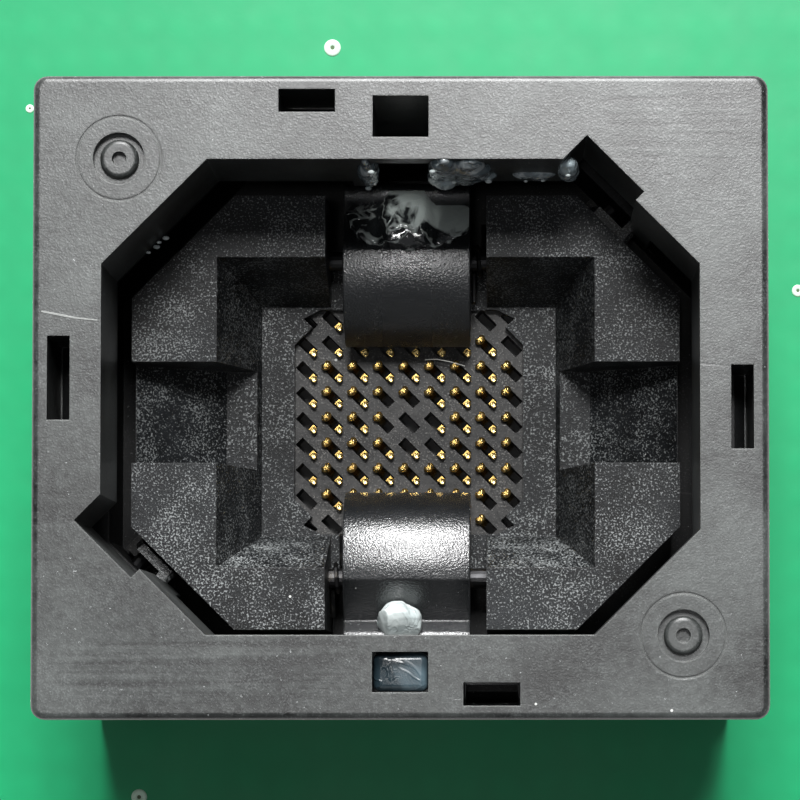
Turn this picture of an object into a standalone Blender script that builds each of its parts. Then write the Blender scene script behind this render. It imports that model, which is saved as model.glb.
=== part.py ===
"""Plug-in programmer adapter with a spring-loaded pinch-contact socket for ball-grid packages.

Built in metres with +Z up. The origin lies under the centre of the socket, level with the pin tips.
+X and +Y run along the board's long and short sides. Sizes below are millimetres and turn into
metres in the helpers. Two sloping directions serve the diagonal mechanism: ALONG points from the
north-west corner to the south-east one, and ACROSS points from the south-west to the north-east.
"""

import math

import bmesh
import bpy
from mathutils import Matrix, Vector

MM = 0.001
ROOT2 = math.sqrt(2.0)
ALONG = Vector((1.0, -1.0, 0.0)) / ROOT2
ACROSS = Vector((1.0, 1.0, 0.0)) / ROOT2
SEAT = 0.02  # gap between faces that rest on each other

# Board and its two double-row plug headers
BOARD_X, BOARD_Y, BOARD_T = 39.0, 33.0, 1.6
BOARD_CORNER = 1.5
HEADER_PITCH = 2.54
HEADER_ROWS, HEADER_COLUMNS = 12, 2
HEADER_CENTRE_X = 16.51
INSULATOR_H = 2.54
PIN_BELOW, PIN_ABOVE = 6.0, 1.0
PIN_SIDE, PIN_POINT = 0.64, 0.5
PIN_HOLE_R, TAIL_HOLE_R = 0.53, 0.24

# Levels of the socket, counted down from the top of its cover or up from its floors
SOCKET_H = 16.0
NEST_TOP_DEPTH, FLOOR_DEPTH = 5.4, 9.0
INSULATOR_BOTTOM = PIN_BELOW
BOARD_BOTTOM = INSULATOR_BOTTOM + INSULATOR_H + SEAT
BOARD_TOP = BOARD_BOTTOM + BOARD_T
COVER_TOP = BOARD_TOP + SOCKET_H
NEST_TOP = COVER_TOP - NEST_TOP_DEPTH
PACKAGE_FLOOR = COVER_TOP - FLOOR_DEPTH

# Cover frame
COVER_X, COVER_Y = 21.0, 18.4
COVER_CORNER, COVER_EDGE = 0.4, 0.35
COVER_H, RING_T, SKIRT_WALL = 10.56, 4.16, 0.55
TRAVEL = 2.4
OPENING_X, OPENING_Y, OPENING_CHAMFER = 8.53, 6.79, 3.0
NOTCH_OUT = 9.05
NOTCHES = {"ne": (-1.52, 0.785), "sw": (-4.06, -1.755)}  # spans along the diagonal
WINDOW_X, WINDOW_Y = 0.8, (7.42, 8.61)
GATE_X, GATE_Y = 8.04, 6.81
GATE_RING_R, GATE_BOSS_R, GATE_DIMPLE_R, GATE_DEPTH = 0.77, 0.55, 0.25, 0.12
RIB_X, RIB_Y = (0.92, 1.6), (7.0, 7.4)
RIB_DROP = 2.36
RECESS_X, RECESS_Y, BRIDGE_T = 0.84, (6.5, 7.5), 0.85
SKIRT_BOTTOM = COVER_TOP - COVER_H
RING_BOTTOM = COVER_TOP - RING_T

# Snap hooks of the base, with the cover slots they stand in: (side, centre along it, half width)
HOOK_NORTH_X, HOOK_SOUTH_X, HOOK_END_HALF = -2.68, 2.60, 0.81
HOOK_WEST_Y, HOOK_EAST_Y, HOOK_SIDE_HALF = 0.53, -0.30, 1.20
SLOT_END_Y, SLOT_SIDE_X = (8.14, 8.80), (9.41, 10.06)
HOOK_T, BARB_OUT, BARB_H, HOOK_GAP = 0.30, 0.24, 0.6, 0.05
HOOK_TOP = COVER_TOP - TRAVEL - 0.12

# Base housing
BASE_WALL, SLIDE_GAP = 0.8, 0.10
BASE_FLOOR = 15.70
FLANGE_OUT, FLANGE_GAP = 0.1, 0.3
CAVITY_CHAMFER_SUM = 12.9
SPRING_X, SPRING_Y = 8.35, 7.1
WELL_R, WELL_BOTTOM, POCKET_TOP_T = 1.15, 14.0, 1.4
BLOCK_GAP = 0.04

# Package nest
NEST_X, NEST_Y, NEST_CHAMFER = 8.24, 6.54, 3.1
SEAT_X, SEAT_Y = 4.57, 3.565
LEAD_IN = 1.12
SIDE_CHANNEL_Y, SIDE_CHANNEL_X = 1.525, 5.62
STEP_H, RAMP_TOP = 0.4, 19.7
LATCH_CHANNEL_X, LATCH_BAR_Y, LATCH_BAR_TOP = 2.43, 5.1, 17.0
FLOOR_WINDOW_X, FLOOR_WINDOW_Y, FLOOR_WINDOW_STEP = 3.56, 3.50, 0.55

# Ball grid, its contacts and the slotted slider
PITCH = 0.8
GRID_X, GRID_Y = 8, 6
EMPTY_CENTRE = {(3, 2), (3, 3), (4, 2), (4, 3)}
OUTLYING = [(1, -1), (6, -1), (1, 6), (6, 6)]
SLOT_HALF_LENGTH, SLOT_HALF_WIDTH = 0.335, 0.155
CONTACT_T, ARM_T = 0.20, 0.10
FIXED_ARM, SPRUNG_ARM, TIP_REACH = 0.26, 0.45, 0.22
TIP_RISE = 0.30
SLIDER_X, SLIDER_Y = 4.3, 3.85
SLIDER_BOTTOM, SLIDER_TOP = 15.76, 16.76
SLIDER_TRAVEL, SLIDER_GAP = 0.2, 0.06
BLOCK_X, BLOCK_Y, BLOCK_BOTTOM, BLOCK_TOP = 4.1, 3.75, 11.2, 15.66
TAIL_BELOW, TAIL_SIDE = 0.9, 0.18

# Latches, seen from +X for the north one, and the pins they turn on
LATCH_X = 1.93
PIVOT_Y, PIVOT_Z = 4.9, 18.02
LATCH_TIP_Y, LATCH_TIP_Z = 2.25, 17.86
LATCH_BACK_R = 2.35
LATCH_CREST_Y = LATCH_TIP_Y + LATCH_BACK_R
LATCH_BACK_END = LATCH_CREST_Y + 0.45
HUB_R, NOSE_R, NOSE_Y, NOSE_Z = 0.85, 0.35, 1.883, 1.2
LATCH_PIN_R, RUNNING_GAP = 0.30, 0.04
EAR_X, EAR_HALF_Y, EAR_GAP = (2.78, 3.40), 0.60, 0.05

# Corner levers that drive the slider
LEVER_IN, LEVER_OUT, LEVER_NUB_OUT = 8.38, 8.66, 9.0
LEVER_PIVOT_Z, LEVER_DROP, LEVER_RISE, LEVER_REACH = 17.7, 1.46, 1.8, 1.205
LEVER_PIN_R, LEVER_HUB_R, LEVER_BULB_R, LEVER_LEG = 0.25, 0.5, 0.3, 0.2
LEVER_NE_ALONG = NOTCHES["ne"][1] + 0.22 - LEVER_REACH
LEVER_SW_ALONG = NOTCHES["sw"][1] + 0.22 - LEVER_REACH
LEVER_PIN_FROM, LEVER_PIN_TO = 8.30, 9.9
CAM_SLOPE = 0.25
EAR_HALF, EAR_END, HEAD_FROM = 0.75, 9.0, 7.4
ARM_SPANS = {"ne": (-0.45, 0.9), "sw": (-3.3, -2.2)}

# Springs
RETURN_WIRE, RETURN_R, RETURN_TURNS = 0.13, 0.86, 6
TORSION_WIRE, TORSION_R, TORSION_TURNS = 0.07, 0.45, 1

PARTS = bpy.data.collections.new("bga_programmer_adapter")
CUTTERS = bpy.data.collections.new("cutters")


def clear_scene():
    for obj in list(bpy.data.objects):
        bpy.data.objects.remove(obj)
    for collection in (PARTS, CUTTERS):
        bpy.context.scene.collection.children.link(collection)


def finish(name, colour, roughness, metallic=0.0, alpha=1.0):
    """A plain Principled material."""
    material = bpy.data.materials.new(name)
    material.use_nodes = True
    shader = material.node_tree.nodes["Principled BSDF"]
    shader.inputs["Base Color"].default_value = (*colour, 1.0)
    shader.inputs["Roughness"].default_value = roughness
    shader.inputs["Metallic"].default_value = metallic
    shader.inputs["Alpha"].default_value = alpha
    return material


def place_mesh(name, mesh, collection=PARTS):
    obj = bpy.data.objects.new(name, mesh)
    collection.objects.link(obj)
    return obj


def from_bmesh(name, shape, collection=PARTS):
    mesh = bpy.data.meshes.new(name)
    bmesh.ops.recalc_face_normals(shape, faces=shape.faces)
    shape.to_mesh(mesh)
    shape.free()
    return place_mesh(name, mesh, collection)


def add_block(shape, low, high):
    """Adds a box between two corners, in millimetres, to a bmesh, and returns its vertices."""
    size = [(b - a) * MM for a, b in zip(low, high)]
    middle = [(a + b) / 2 * MM for a, b in zip(low, high)]
    matrix = Matrix.Translation(middle) @ Matrix.Diagonal((*size, 1.0))
    return bmesh.ops.create_cube(shape, size=1.0, matrix=matrix)["verts"]


def block(name, low, high, collection=PARTS):
    shape = bmesh.new()
    add_block(shape, low, high)
    return from_bmesh(name, shape, collection)


def rod(name, start, end, radius, sides, collection=PARTS):
    """A cylinder between two points in millimetres."""
    start, end = Vector(start) * MM, Vector(end) * MM
    turn = (end - start).to_track_quat("Z", "Y").to_matrix().to_4x4()
    shape = bmesh.new()
    bmesh.ops.create_cone(
        shape, cap_ends=True, segments=sides, radius1=radius * MM, radius2=radius * MM,
        depth=(end - start).length, matrix=Matrix.Translation((start + end) / 2) @ turn,
    )
    return from_bmesh(name, shape, collection)


def curve_to_mesh(curve_obj, name, collection):
    """Replaces a curve object by a mesh object whose caps are welded on."""
    graph = bpy.context.evaluated_depsgraph_get()
    mesh = bpy.data.meshes.new_from_object(curve_obj.evaluated_get(graph))
    matrix = curve_obj.matrix_world.copy()
    bpy.data.objects.remove(curve_obj)
    shape = bmesh.new()
    shape.from_mesh(mesh)
    bmesh.ops.remove_doubles(shape, verts=shape.verts, dist=1e-7)
    bmesh.ops.recalc_face_normals(shape, faces=shape.faces)
    shape.to_mesh(mesh)
    shape.free()
    mesh.materials.clear()
    obj = place_mesh(name, mesh, collection)
    obj.matrix_world = matrix
    return obj


SIDE_FRAMES = {
    "Z": Matrix.Identity(4),
    "X": Matrix(((0, 0, 1, 0), (1, 0, 0, 0), (0, 1, 0, 0), (0, 0, 0, 1))),
    "Y": Matrix(((1, 0, 0, 0), (0, 0, -1, 0), (0, 1, 0, 0), (0, 0, 0, 1))),
    "ACROSS": Matrix((
        (1 / ROOT2, 0, -1 / ROOT2, 0), (-1 / ROOT2, 0, -1 / ROOT2, 0), (0, 1, 0, 0), (0, 0, 0, 1),
    )),
}


def plate(name, outlines, low, high, normal="Z", collection=PARTS):
    """A flat outline, with any holes as further outlines, made solid from low to high.

    Normal Z draws in X and Y, X draws in Y and Z, Y draws in X and Z, and ACROSS draws along
    the diagonal and in Z. The levels low and high are counted along the normal.
    """
    curve = bpy.data.curves.new(name, "CURVE")
    curve.dimensions = "2D"
    curve.fill_mode = "BOTH"
    curve.extrude = (high - low) / 2 * MM
    for outline in outlines:
        spline = curve.splines.new("POLY")
        spline.points.add(len(outline) - 1)
        for point, (a, b) in zip(spline.points, outline):
            point.co = (a * MM, b * MM, 0.0, 1.0)
        spline.use_cyclic_u = True
    obj = bpy.data.objects.new(name, curve)
    collection.objects.link(obj)
    middle = (low + high) / 2 * MM * (-1 if normal in ("Y", "ACROSS") else 1)
    obj.matrix_world = SIDE_FRAMES[normal] @ Matrix.Translation((0.0, 0.0, middle))
    bpy.context.view_layer.update()
    made = curve_to_mesh(obj, name, collection)
    made.data.transform(made.matrix_world)
    made.matrix_world = Matrix.Identity(4)
    return made


def arc(centre, radius, start, end, steps):
    """Points from one angle to another, in degrees."""
    angles = [math.radians(start + (end - start) * i / steps) for i in range(steps + 1)]
    return [(centre[0] + radius * math.cos(a), centre[1] + radius * math.sin(a)) for a in angles]


def circle(centre, radius, sides):
    return arc(centre, radius, 0.0, 360.0 * (sides - 1) / sides, sides - 1)


def octagon(half_x, half_y, chamfer):
    cut_x, cut_y = half_x - chamfer, half_y - chamfer
    return [
        (half_x, -cut_y), (half_x, cut_y), (cut_x, half_y), (-cut_x, half_y),
        (-half_x, cut_y), (-half_x, -cut_y), (-cut_x, -half_y), (cut_x, -half_y),
    ]


def diagonal_rectangle(along, across):
    """Corners, in X and Y, of a rectangle given by its spans along and across the diagonal."""
    corners = [(along[0], across[0]), (along[1], across[0]), (along[1], across[1]), (along[0], across[1])]
    return [tuple((ALONG * a + ACROSS * c)[:2]) for a, c in corners]


def combine(target, other, operation):
    other.hide_render = True
    other.display_type = "WIRE"
    modifier = target.modifiers.new(f"{operation.lower()}_{other.name}", "BOOLEAN")
    modifier.operation = operation
    modifier.object = other


def cut(target, *others):
    for other in others:
        combine(target, other, "DIFFERENCE")


def join(target, *others):
    for other in others:
        combine(target, other, "UNION")


def dress(obj, material, pivot=(0.0, 0.0, 0.0)):
    """Gives the finish and moves the object's origin to its joint's axis."""
    obj.data.materials.clear()
    obj.data.materials.append(material)
    offset = Vector(pivot) * MM
    obj.data.transform(Matrix.Translation(-offset))
    obj.location = offset
    obj.data.shade_smooth()
    obj.data.set_sharp_from_angle(angle=math.radians(35))


def ball_places():
    """Centres of the balls that have a contact."""
    cells = [(i, j) for i in range(GRID_X) for j in range(GRID_Y) if (i, j) not in EMPTY_CENTRE]
    first_x, first_y = -PITCH * (GRID_X - 1) / 2, PITCH * (GRID_Y - 1) / 2
    return [(first_x + PITCH * i, first_y - PITCH * j) for i, j in cells + OUTLYING]


def slot_places():
    """Centres of the slider's slots: half a pitch off the balls, with short rows at the corners."""
    columns, rows = range(GRID_X + 1), range(GRID_Y + 1)
    corner_columns = [c for c in columns if c < 3 or c > GRID_X - 3]
    cells = [(c, r) for r in rows for c in columns]
    cells += [(c, r) for r in (-1, GRID_Y + 1) for c in corner_columns]
    return [(PITCH * (c - GRID_X / 2), PITCH * (GRID_Y / 2 - r)) for c, r in cells]


def make_board(green):
    header_holes = [
        circle((side * HEADER_CENTRE_X + dx, dy), PIN_HOLE_R, 8)
        for side in (-1, 1) for dx, dy in header_pins()
    ]
    tail_holes = [circle(place, TAIL_HOLE_R, 4) for place in ball_places()]
    x, y, r = BOARD_X / 2, BOARD_Y / 2, BOARD_CORNER
    outline = []
    for cx, cy, start in ((x - r, y - r, 0), (r - x, y - r, 90), (r - x, r - y, 180), (x - r, r - y, 270)):
        outline += arc((cx, cy), r, start, start + 90, 4)
    board = plate("pcb_board", [outline, *header_holes, *tail_holes], BOARD_BOTTOM, BOARD_TOP)
    dress(board, green)


def header_pins():
    """Places of a header's pins about its centre."""
    xs = [HEADER_PITCH * (c - (HEADER_COLUMNS - 1) / 2) for c in range(HEADER_COLUMNS)]
    ys = [HEADER_PITCH * (r - (HEADER_ROWS - 1) / 2) for r in range(HEADER_ROWS)]
    return [(x, y) for x in xs for y in ys]


def make_header(name, centre_x, plastic):
    """Insulator with a waist between each pair of pins, and its square pins."""
    half, waist, half_y = HEADER_PITCH * HEADER_COLUMNS / 2, 0.25, HEADER_PITCH * HEADER_ROWS / 2
    side = []
    for row in range(HEADER_ROWS):
        low = -half_y + HEADER_PITCH * row
        side += [(half - waist, low), (half, low + waist), (half, low + HEADER_PITCH - waist)]
    side.append((half - waist, half_y))
    outline = [(centre_x + x, y) for x, y in side] + [(centre_x - x, y) for x, y in reversed(side)]
    header = plate(name, [outline], INSULATOR_BOTTOM, INSULATOR_BOTTOM + INSULATOR_H)
    pins = bmesh.new()
    for dx, dy in header_pins():
        x, y, s = centre_x + dx, dy, PIN_SIDE / 2
        for vert in add_block(pins, (x - s, y - s, 0.0), (x + s, y + s, BOARD_TOP + PIN_ABOVE)):
            if vert.co.z < MM * PIN_POINT:
                vert.co.x = (x + (vert.co.x / MM - x) * PIN_POINT) * MM
                vert.co.y = (y + (vert.co.y / MM - y) * PIN_POINT) * MM
    join(header, from_bmesh(f"{name}_pins", pins, CUTTERS))
    dress(header, plastic)


def spread(tool, name):
    """A copy of a cutter turned half way round the vertical axis."""
    copy = place_mesh(name, tool.data.copy(), CUTTERS)
    copy.data.transform(Matrix.Rotation(math.pi, 4, "Z"))
    return copy


def hook_places():
    """Name, outward direction, centre along the wall and half width of each snap hook."""
    return [
        ("north", (0, 1), HOOK_NORTH_X, HOOK_END_HALF), ("south", (0, -1), HOOK_SOUTH_X, HOOK_END_HALF),
        ("west", (-1, 0), HOOK_WEST_Y, HOOK_SIDE_HALF), ("east", (1, 0), HOOK_EAST_Y, HOOK_SIDE_HALF),
    ]


def wall_box(name, outward, inner, outer, centre, half, low, high, collection=CUTTERS):
    """A box on one side of the socket, from inner to outer away from the middle."""
    a, b = sorted(((outward[0] + outward[1]) * inner, (outward[0] + outward[1]) * outer))
    if outward[0]:
        return block(name, (a, centre - half, low), (b, centre + half, high), collection)
    return block(name, (centre - half, a, low), (centre + half, b, high), collection)


def hook_span(outward):
    """Inner and outer limits of a cover slot, away from the middle."""
    return SLOT_SIDE_X if outward[0] else SLOT_END_Y


def rounded_cover_block():
    shape = bmesh.new()
    add_block(shape, (-COVER_X / 2, -COVER_Y / 2, SKIRT_BOTTOM), (COVER_X / 2, COVER_Y / 2, COVER_TOP))
    uprights = [e for e in shape.edges if abs(e.verts[0].co.z - e.verts[1].co.z) > MM]
    bmesh.ops.bevel(shape, geom=uprights, offset=COVER_CORNER * MM, segments=3, profile=0.5, affect="EDGES")
    top = (COVER_TOP - 0.01) * MM
    rim = [e for e in shape.edges if min(v.co.z for v in e.verts) > top]
    bmesh.ops.bevel(shape, geom=rim, offset=COVER_EDGE * MM, segments=2, profile=0.5, affect="EDGES")
    return from_bmesh("cover_frame", shape)


def make_cover(plastic):
    cover = rounded_cover_block()
    inner_x, inner_y = COVER_X / 2 - SKIRT_WALL, COVER_Y / 2 - SKIRT_WALL
    low, high = (-inner_x, -inner_y, SKIRT_BOTTOM - 1), (inner_x, inner_y, RING_BOTTOM)
    hollow = block("cut_cover_hollow", low, high, CUTTERS)
    opening = plate(
        "cut_cover_opening", [octagon(OPENING_X, OPENING_Y, OPENING_CHAMFER)],
        RING_BOTTOM - 1, COVER_TOP + 1, collection=CUTTERS,
    )
    cut(cover, hollow, opening)
    for name, side in (("ne", 1), ("sw", -1)):
        spans = sorted((side * (NOTCH_OUT - 2.5), side * NOTCH_OUT))
        notch = diagonal_rectangle(NOTCHES[name], spans)
        low, high = RING_BOTTOM - 1, COVER_TOP + 1
        cut(cover, plate(f"cut_notch_{name}", [notch], low, high, collection=CUTTERS))
    low, high = (-WINDOW_X, WINDOW_Y[0], RING_BOTTOM - 1), (WINDOW_X, WINDOW_Y[1], COVER_TOP + 1)
    window = block("cut_window_north", low, high, CUTTERS)
    ceiling = COVER_TOP - BRIDGE_T
    low, high = (-RECESS_X, RECESS_Y[0], RING_BOTTOM - 1), (RECESS_X, RECESS_Y[1], ceiling)
    recess = block("cut_recess_north", low, high, CUTTERS)
    cut(cover, window, spread(window, "cut_window_south"), recess, spread(recess, "cut_recess_south"))
    for name, outward, centre, half in hook_places():
        inner, outer = hook_span(outward)
        ledge, low, high = HOOK_TOP - BARB_H - HOOK_GAP, RING_BOTTOM - 1, COVER_TOP + 1
        narrow = inner + HOOK_T + 2 * HOOK_GAP
        upper = wall_box(f"cut_slot_{name}", outward, inner, outer, centre, half, ledge, high)
        lower = wall_box(f"cut_slot_low_{name}", outward, inner, narrow, centre, half, low, high)
        cut(cover, upper, lower)
    for x, y, name in ((-GATE_X, GATE_Y, "nw"), (GATE_X, -GATE_Y, "se")):
        for radius, depth, sides, kind in (
            (GATE_RING_R, GATE_DEPTH, 24, "recess"), (GATE_DIMPLE_R, 3 * GATE_DEPTH, 12, "dimple"),
        ):
            low, high = (x, y, COVER_TOP - depth), (x, y, COVER_TOP + 1)
            cut(cover, rod(f"cut_gate_{kind}_{name}", low, high, radius, sides, CUTTERS))
    for x, y, name in ((-GATE_X, GATE_Y, "nw"), (GATE_X, -GATE_Y, "se")):
        boss = plate(
            f"gate_boss_{name}", [circle((x, y), GATE_BOSS_R, 20), circle((x, y), GATE_DIMPLE_R, 12)],
            COVER_TOP - 2 * GATE_DEPTH, COVER_TOP - 0.02, collection=CUTTERS,
        )
        join(cover, boss)
    for sx, sy, name in spring_corners():
        pocket = rod(
            f"cut_pocket_{name}", (sx * SPRING_X, sy * SPRING_Y, RING_BOTTOM - 1),
            (sx * SPRING_X, sy * SPRING_Y, COVER_TOP - POCKET_TOP_T), WELL_R, 16, CUTTERS,
        )
        cut(cover, pocket)
    for flank in (1, -1):
        xs = sorted((flank * RIB_X[0], flank * RIB_X[1]))
        low, high = RING_BOTTOM - RIB_DROP, RING_BOTTOM + 0.6
        rib = block(f"cam_rib_north_{flank}", (xs[0], RIB_Y[0], low), (xs[1], RIB_Y[1], high), CUTTERS)
        join(cover, rib, spread(rib, f"cam_rib_south_{flank}"))
    for name, side in (("ne", 1), ("sw", -1)):
        join(cover, cam_finger(f"cam_finger_{name}", NOTCHES[name][1], side))
    dress(cover, plastic)


def cam_finger(name, end_along, side):
    """Wedge under the cover, at a notch's south-east end, that tips the lever as the cover sinks."""
    tip = LEVER_PIVOT_Z + LEVER_RISE
    outline = [
        (end_along, RING_BOTTOM + 0.5), (end_along, tip + TRAVEL), (end_along + CAM_SLOPE, tip),
        (end_along + CAM_SLOPE + 0.12, tip - 0.3), (end_along + 0.75, tip - 0.3),
        (end_along + 0.85, RING_BOTTOM + 0.5),
    ]
    inner = (OPENING_X + OPENING_Y - OPENING_CHAMFER) / ROOT2 + 0.03
    low, high = sorted((side * inner, side * (NOTCH_OUT + SEAT)))
    return plate(name, [outline], low, high, "ACROSS", CUTTERS)


def spring_corners():
    return [(-1, 1, "nw"), (1, 1, "ne"), (-1, -1, "sw"), (1, -1, "se")]


def make_base(plastic):
    out_x = COVER_X / 2 - SKIRT_WALL - SLIDE_GAP
    out_y = COVER_Y / 2 - SKIRT_WALL - SLIDE_GAP
    wall_top = RING_BOTTOM - TRAVEL - 0.2
    bottom = BOARD_TOP + SEAT
    flange_top = SKIRT_BOTTOM - TRAVEL - FLANGE_GAP
    base = block("base_housing", (-out_x, -out_y, bottom), (out_x, out_y, wall_top))
    flange = block(
        "base_flange", (FLANGE_OUT - COVER_X / 2, FLANGE_OUT - COVER_Y / 2, bottom + 0.3),
        (COVER_X / 2 - FLANGE_OUT, COVER_Y / 2 - FLANGE_OUT, flange_top), CUTTERS,
    )
    join(base, flange)
    in_x, in_y = out_x - BASE_WALL, out_y - BASE_WALL
    chamfer = in_x + in_y - CAVITY_CHAMFER_SUM
    outline = octagon(in_x, in_y, chamfer)
    cavity = plate("cut_base_cavity", [outline], BASE_FLOOR, wall_top + 1, collection=CUTTERS)
    bx, by = BLOCK_X + BLOCK_GAP, BLOCK_Y + BLOCK_GAP
    window = block("cut_base_window", (-bx, -by, bottom - 1), (bx, by, BASE_FLOOR + 1), CUTTERS)
    cut(base, cavity, window)
    for sx, sy, name in spring_corners():
        x, y = sx * SPRING_X, sy * SPRING_Y
        cut(base, rod(f"cut_well_{name}", (x, y, WELL_BOTTOM), (x, y, wall_top + 1), WELL_R, 16, CUTTERS))
    for name, outward, centre, half in hook_places():
        join(base, hook(name, outward, centre, half - HOOK_GAP, wall_top))
    bore = LATCH_PIN_R + RUNNING_GAP
    for side, label in ((1, "north"), (-1, "south")):
        y = side * PIVOT_Y
        outline = [(y + EAR_HALF_Y, BASE_FLOOR - 0.5), *arc((y, PIVOT_Z), EAR_HALF_Y, 0, 180, 8)]
        outline += [(y - EAR_HALF_Y, BASE_FLOOR - 0.5)]
        for flank in (1, -1):
            low, high = sorted((flank * EAR_X[0], flank * EAR_X[1]))
            join(base, plate(f"ear_{label}_{flank}", [outline], low, high, "X", CUTTERS))
        cut(base, rod(f"cut_ear_bore_{label}", (-4, y, PIVOT_Z), (4, y, PIVOT_Z), bore, 16, CUTTERS))
    for name, side in (("ne", 1), ("sw", -1)):
        end, spans = NOTCHES[name][1], sorted((side * (NOTCH_OUT - 0.5), side * (NOTCH_OUT + 0.1)))
        room = diagonal_rectangle((end + 0.1, end + 0.95), spans)
        low = LEVER_PIVOT_Z + LEVER_RISE - 0.3 - TRAVEL - 0.1
        cut(base, plate(f"cut_finger_room_{name}", [room], low, wall_top + 1, collection=CUTTERS))
    for name, along, side in lever_places():
        start = ALONG * along + ACROSS * side * (LEVER_PIN_FROM - 0.2)
        end = ALONG * along + ACROSS * side * (LEVER_PIN_TO + SEAT)
        cut(base, rod(
            f"cut_lever_bore_{name}", (*start[:2], LEVER_PIVOT_Z), (*end[:2], LEVER_PIVOT_Z),
            LEVER_PIN_R + RUNNING_GAP, 12, CUTTERS,
        ))
    dress(base, plastic)


def hook(name, outward, centre, half, wall_top):
    """One snap hook: a flat stem with a barb on its outer side."""
    inner, outer = hook_span(outward)
    stem_in, stem_out = inner + HOOK_GAP, inner + HOOK_GAP + HOOK_T
    sign = outward[0] + outward[1]
    tip = min(stem_out + BARB_OUT, outer - HOOK_GAP)
    low, under = wall_top - 1.5, HOOK_TOP - BARB_H
    outline = [(stem_in, low), (stem_out, low), (stem_out, under), (tip, under), (tip, under + 0.15)]
    outline += [(stem_out - 0.1, HOOK_TOP), (stem_in, HOOK_TOP)]
    outline = [(sign * a, z) for a, z in outline]
    normal = "Y" if outward[0] else "X"
    return plate(f"hook_{name}", [outline], centre - half, centre + half, normal, CUTTERS)


def make_nest(plastic):
    bottom = BASE_FLOOR + SEAT
    nest = plate("package_nest", [octagon(NEST_X, NEST_Y, NEST_CHAMFER)], bottom, NEST_TOP)
    pocket = bmesh.new()
    for vert in add_block(pocket, (-SEAT_X, -SEAT_Y, PACKAGE_FLOOR), (SEAT_X, SEAT_Y, NEST_TOP)):
        if vert.co.z > (PACKAGE_FLOOR + 0.1) * MM:
            vert.co.x += math.copysign(LEAD_IN * MM, vert.co.x)
            vert.co.y += math.copysign(LEAD_IN * MM, vert.co.y)
    mouth = [v for v in pocket.verts if v.co.z > (NEST_TOP - 0.1) * MM]
    bmesh.ops.translate(pocket, verts=mouth, vec=(0, 0, 0.01 * MM))
    cut(nest, from_bmesh("cut_package_pocket", pocket, CUTTERS))
    for side, label in ((1, "east"), (-1, "west")):
        inner, outer, step = SEAT_X - 0.5, NEST_X + 0.2, PACKAGE_FLOOR + STEP_H
        outline = [(inner, step), (SIDE_CHANNEL_X, step), (outer, RAMP_TOP), (outer, NEST_TOP + 1)]
        outline = [(side * a, z) for a, z in [*outline, (inner, NEST_TOP + 1)]]
        cut(nest, plate(f"cut_channel_{label}", [outline], -SIDE_CHANNEL_Y, SIDE_CHANNEL_Y, "Y", CUTTERS))
    x = LATCH_CHANNEL_X
    for side, label in ((1, "north"), (-1, "south")):
        for kind, inner, outer, low in (
            ("well", FLOOR_WINDOW_Y, LATCH_BAR_Y, LATCH_BAR_TOP), ("end", LATCH_BAR_Y, NEST_Y + 1, bottom - 1),
        ):
            ys = sorted((side * inner, side * outer))
            high = (x, ys[1], NEST_TOP + 1)
            cut(nest, block(f"cut_latch_{kind}_{label}", (-x, ys[0], low), high, CUTTERS))
        y, bore = side * PIVOT_Y, LATCH_PIN_R + RUNNING_GAP
        cut(nest, rod(f"cut_nest_bore_{label}", (-4, y, PIVOT_Z), (4, y, PIVOT_Z), bore, 12, CUTTERS))
        for flank in (1, -1):
            xs = sorted((flank * (EAR_X[0] - EAR_GAP), flank * (EAR_X[1] + EAR_GAP)))
            reach = EAR_HALF_Y + EAR_GAP
            cut(nest, block(
                f"cut_ear_pocket_{label}_{flank}", (xs[0], y - reach, bottom - 1),
                (xs[1], y + reach, PIVOT_Z + reach), CUTTERS,
            ))
    clear = SLIDER_TRAVEL + SLIDER_GAP
    ceiling = SLIDER_TOP + SLIDER_GAP / 2
    sx, sy = SLIDER_X + clear, SLIDER_Y + clear
    cut(nest, block("cut_slider_pocket", (-sx, -sy, bottom - 1), (sx, sy, ceiling), CUTTERS))
    for name, along, side in lever_places():
        heads = (along - EAR_HALF - clear, along + EAR_HALF + clear)
        arms = (ARM_SPANS[name][0] - clear, ARM_SPANS[name][1] + clear)
        for ends, low, kind in ((heads, HEAD_FROM - clear, "head"), (arms, 3.0, "arm")):
            spans = sorted((side * low, side * (EAR_END + 0.2)))
            room = diagonal_rectangle(ends, spans)
            cut(nest, plate(f"cut_{kind}_channel_{name}", [room], bottom - 1, ceiling, collection=CUTTERS))
    window = plate(
        "cut_floor_window", [floor_window()], ceiling - 0.5, PACKAGE_FLOOR + 0.5, collection=CUTTERS
    )
    cut(nest, window)
    dress(nest, plastic)


def floor_window():
    """Opening over the contact field, stepped by 45 degree teeth at its corners."""
    x, y, s = FLOOR_WINDOW_X, FLOOR_WINDOW_Y, FLOOR_WINDOW_STEP
    quarter = [(x, y - 2 * s), (x - s, y - s), (x - s / 2, y - s / 2), (x - 1.5 * s, y)]
    points = []
    for sx, sy in ((1, 1), (-1, 1), (-1, -1), (1, -1)):
        run = [(sx * px, sy * py) for px, py in quarter]
        points += run if sx * sy > 0 else run[::-1]
    return points


def lever_places():
    """Name, place along the diagonal and side of each corner lever."""
    return [("ne", LEVER_NE_ALONG, 1), ("sw", LEVER_SW_ALONG, -1)]


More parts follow.
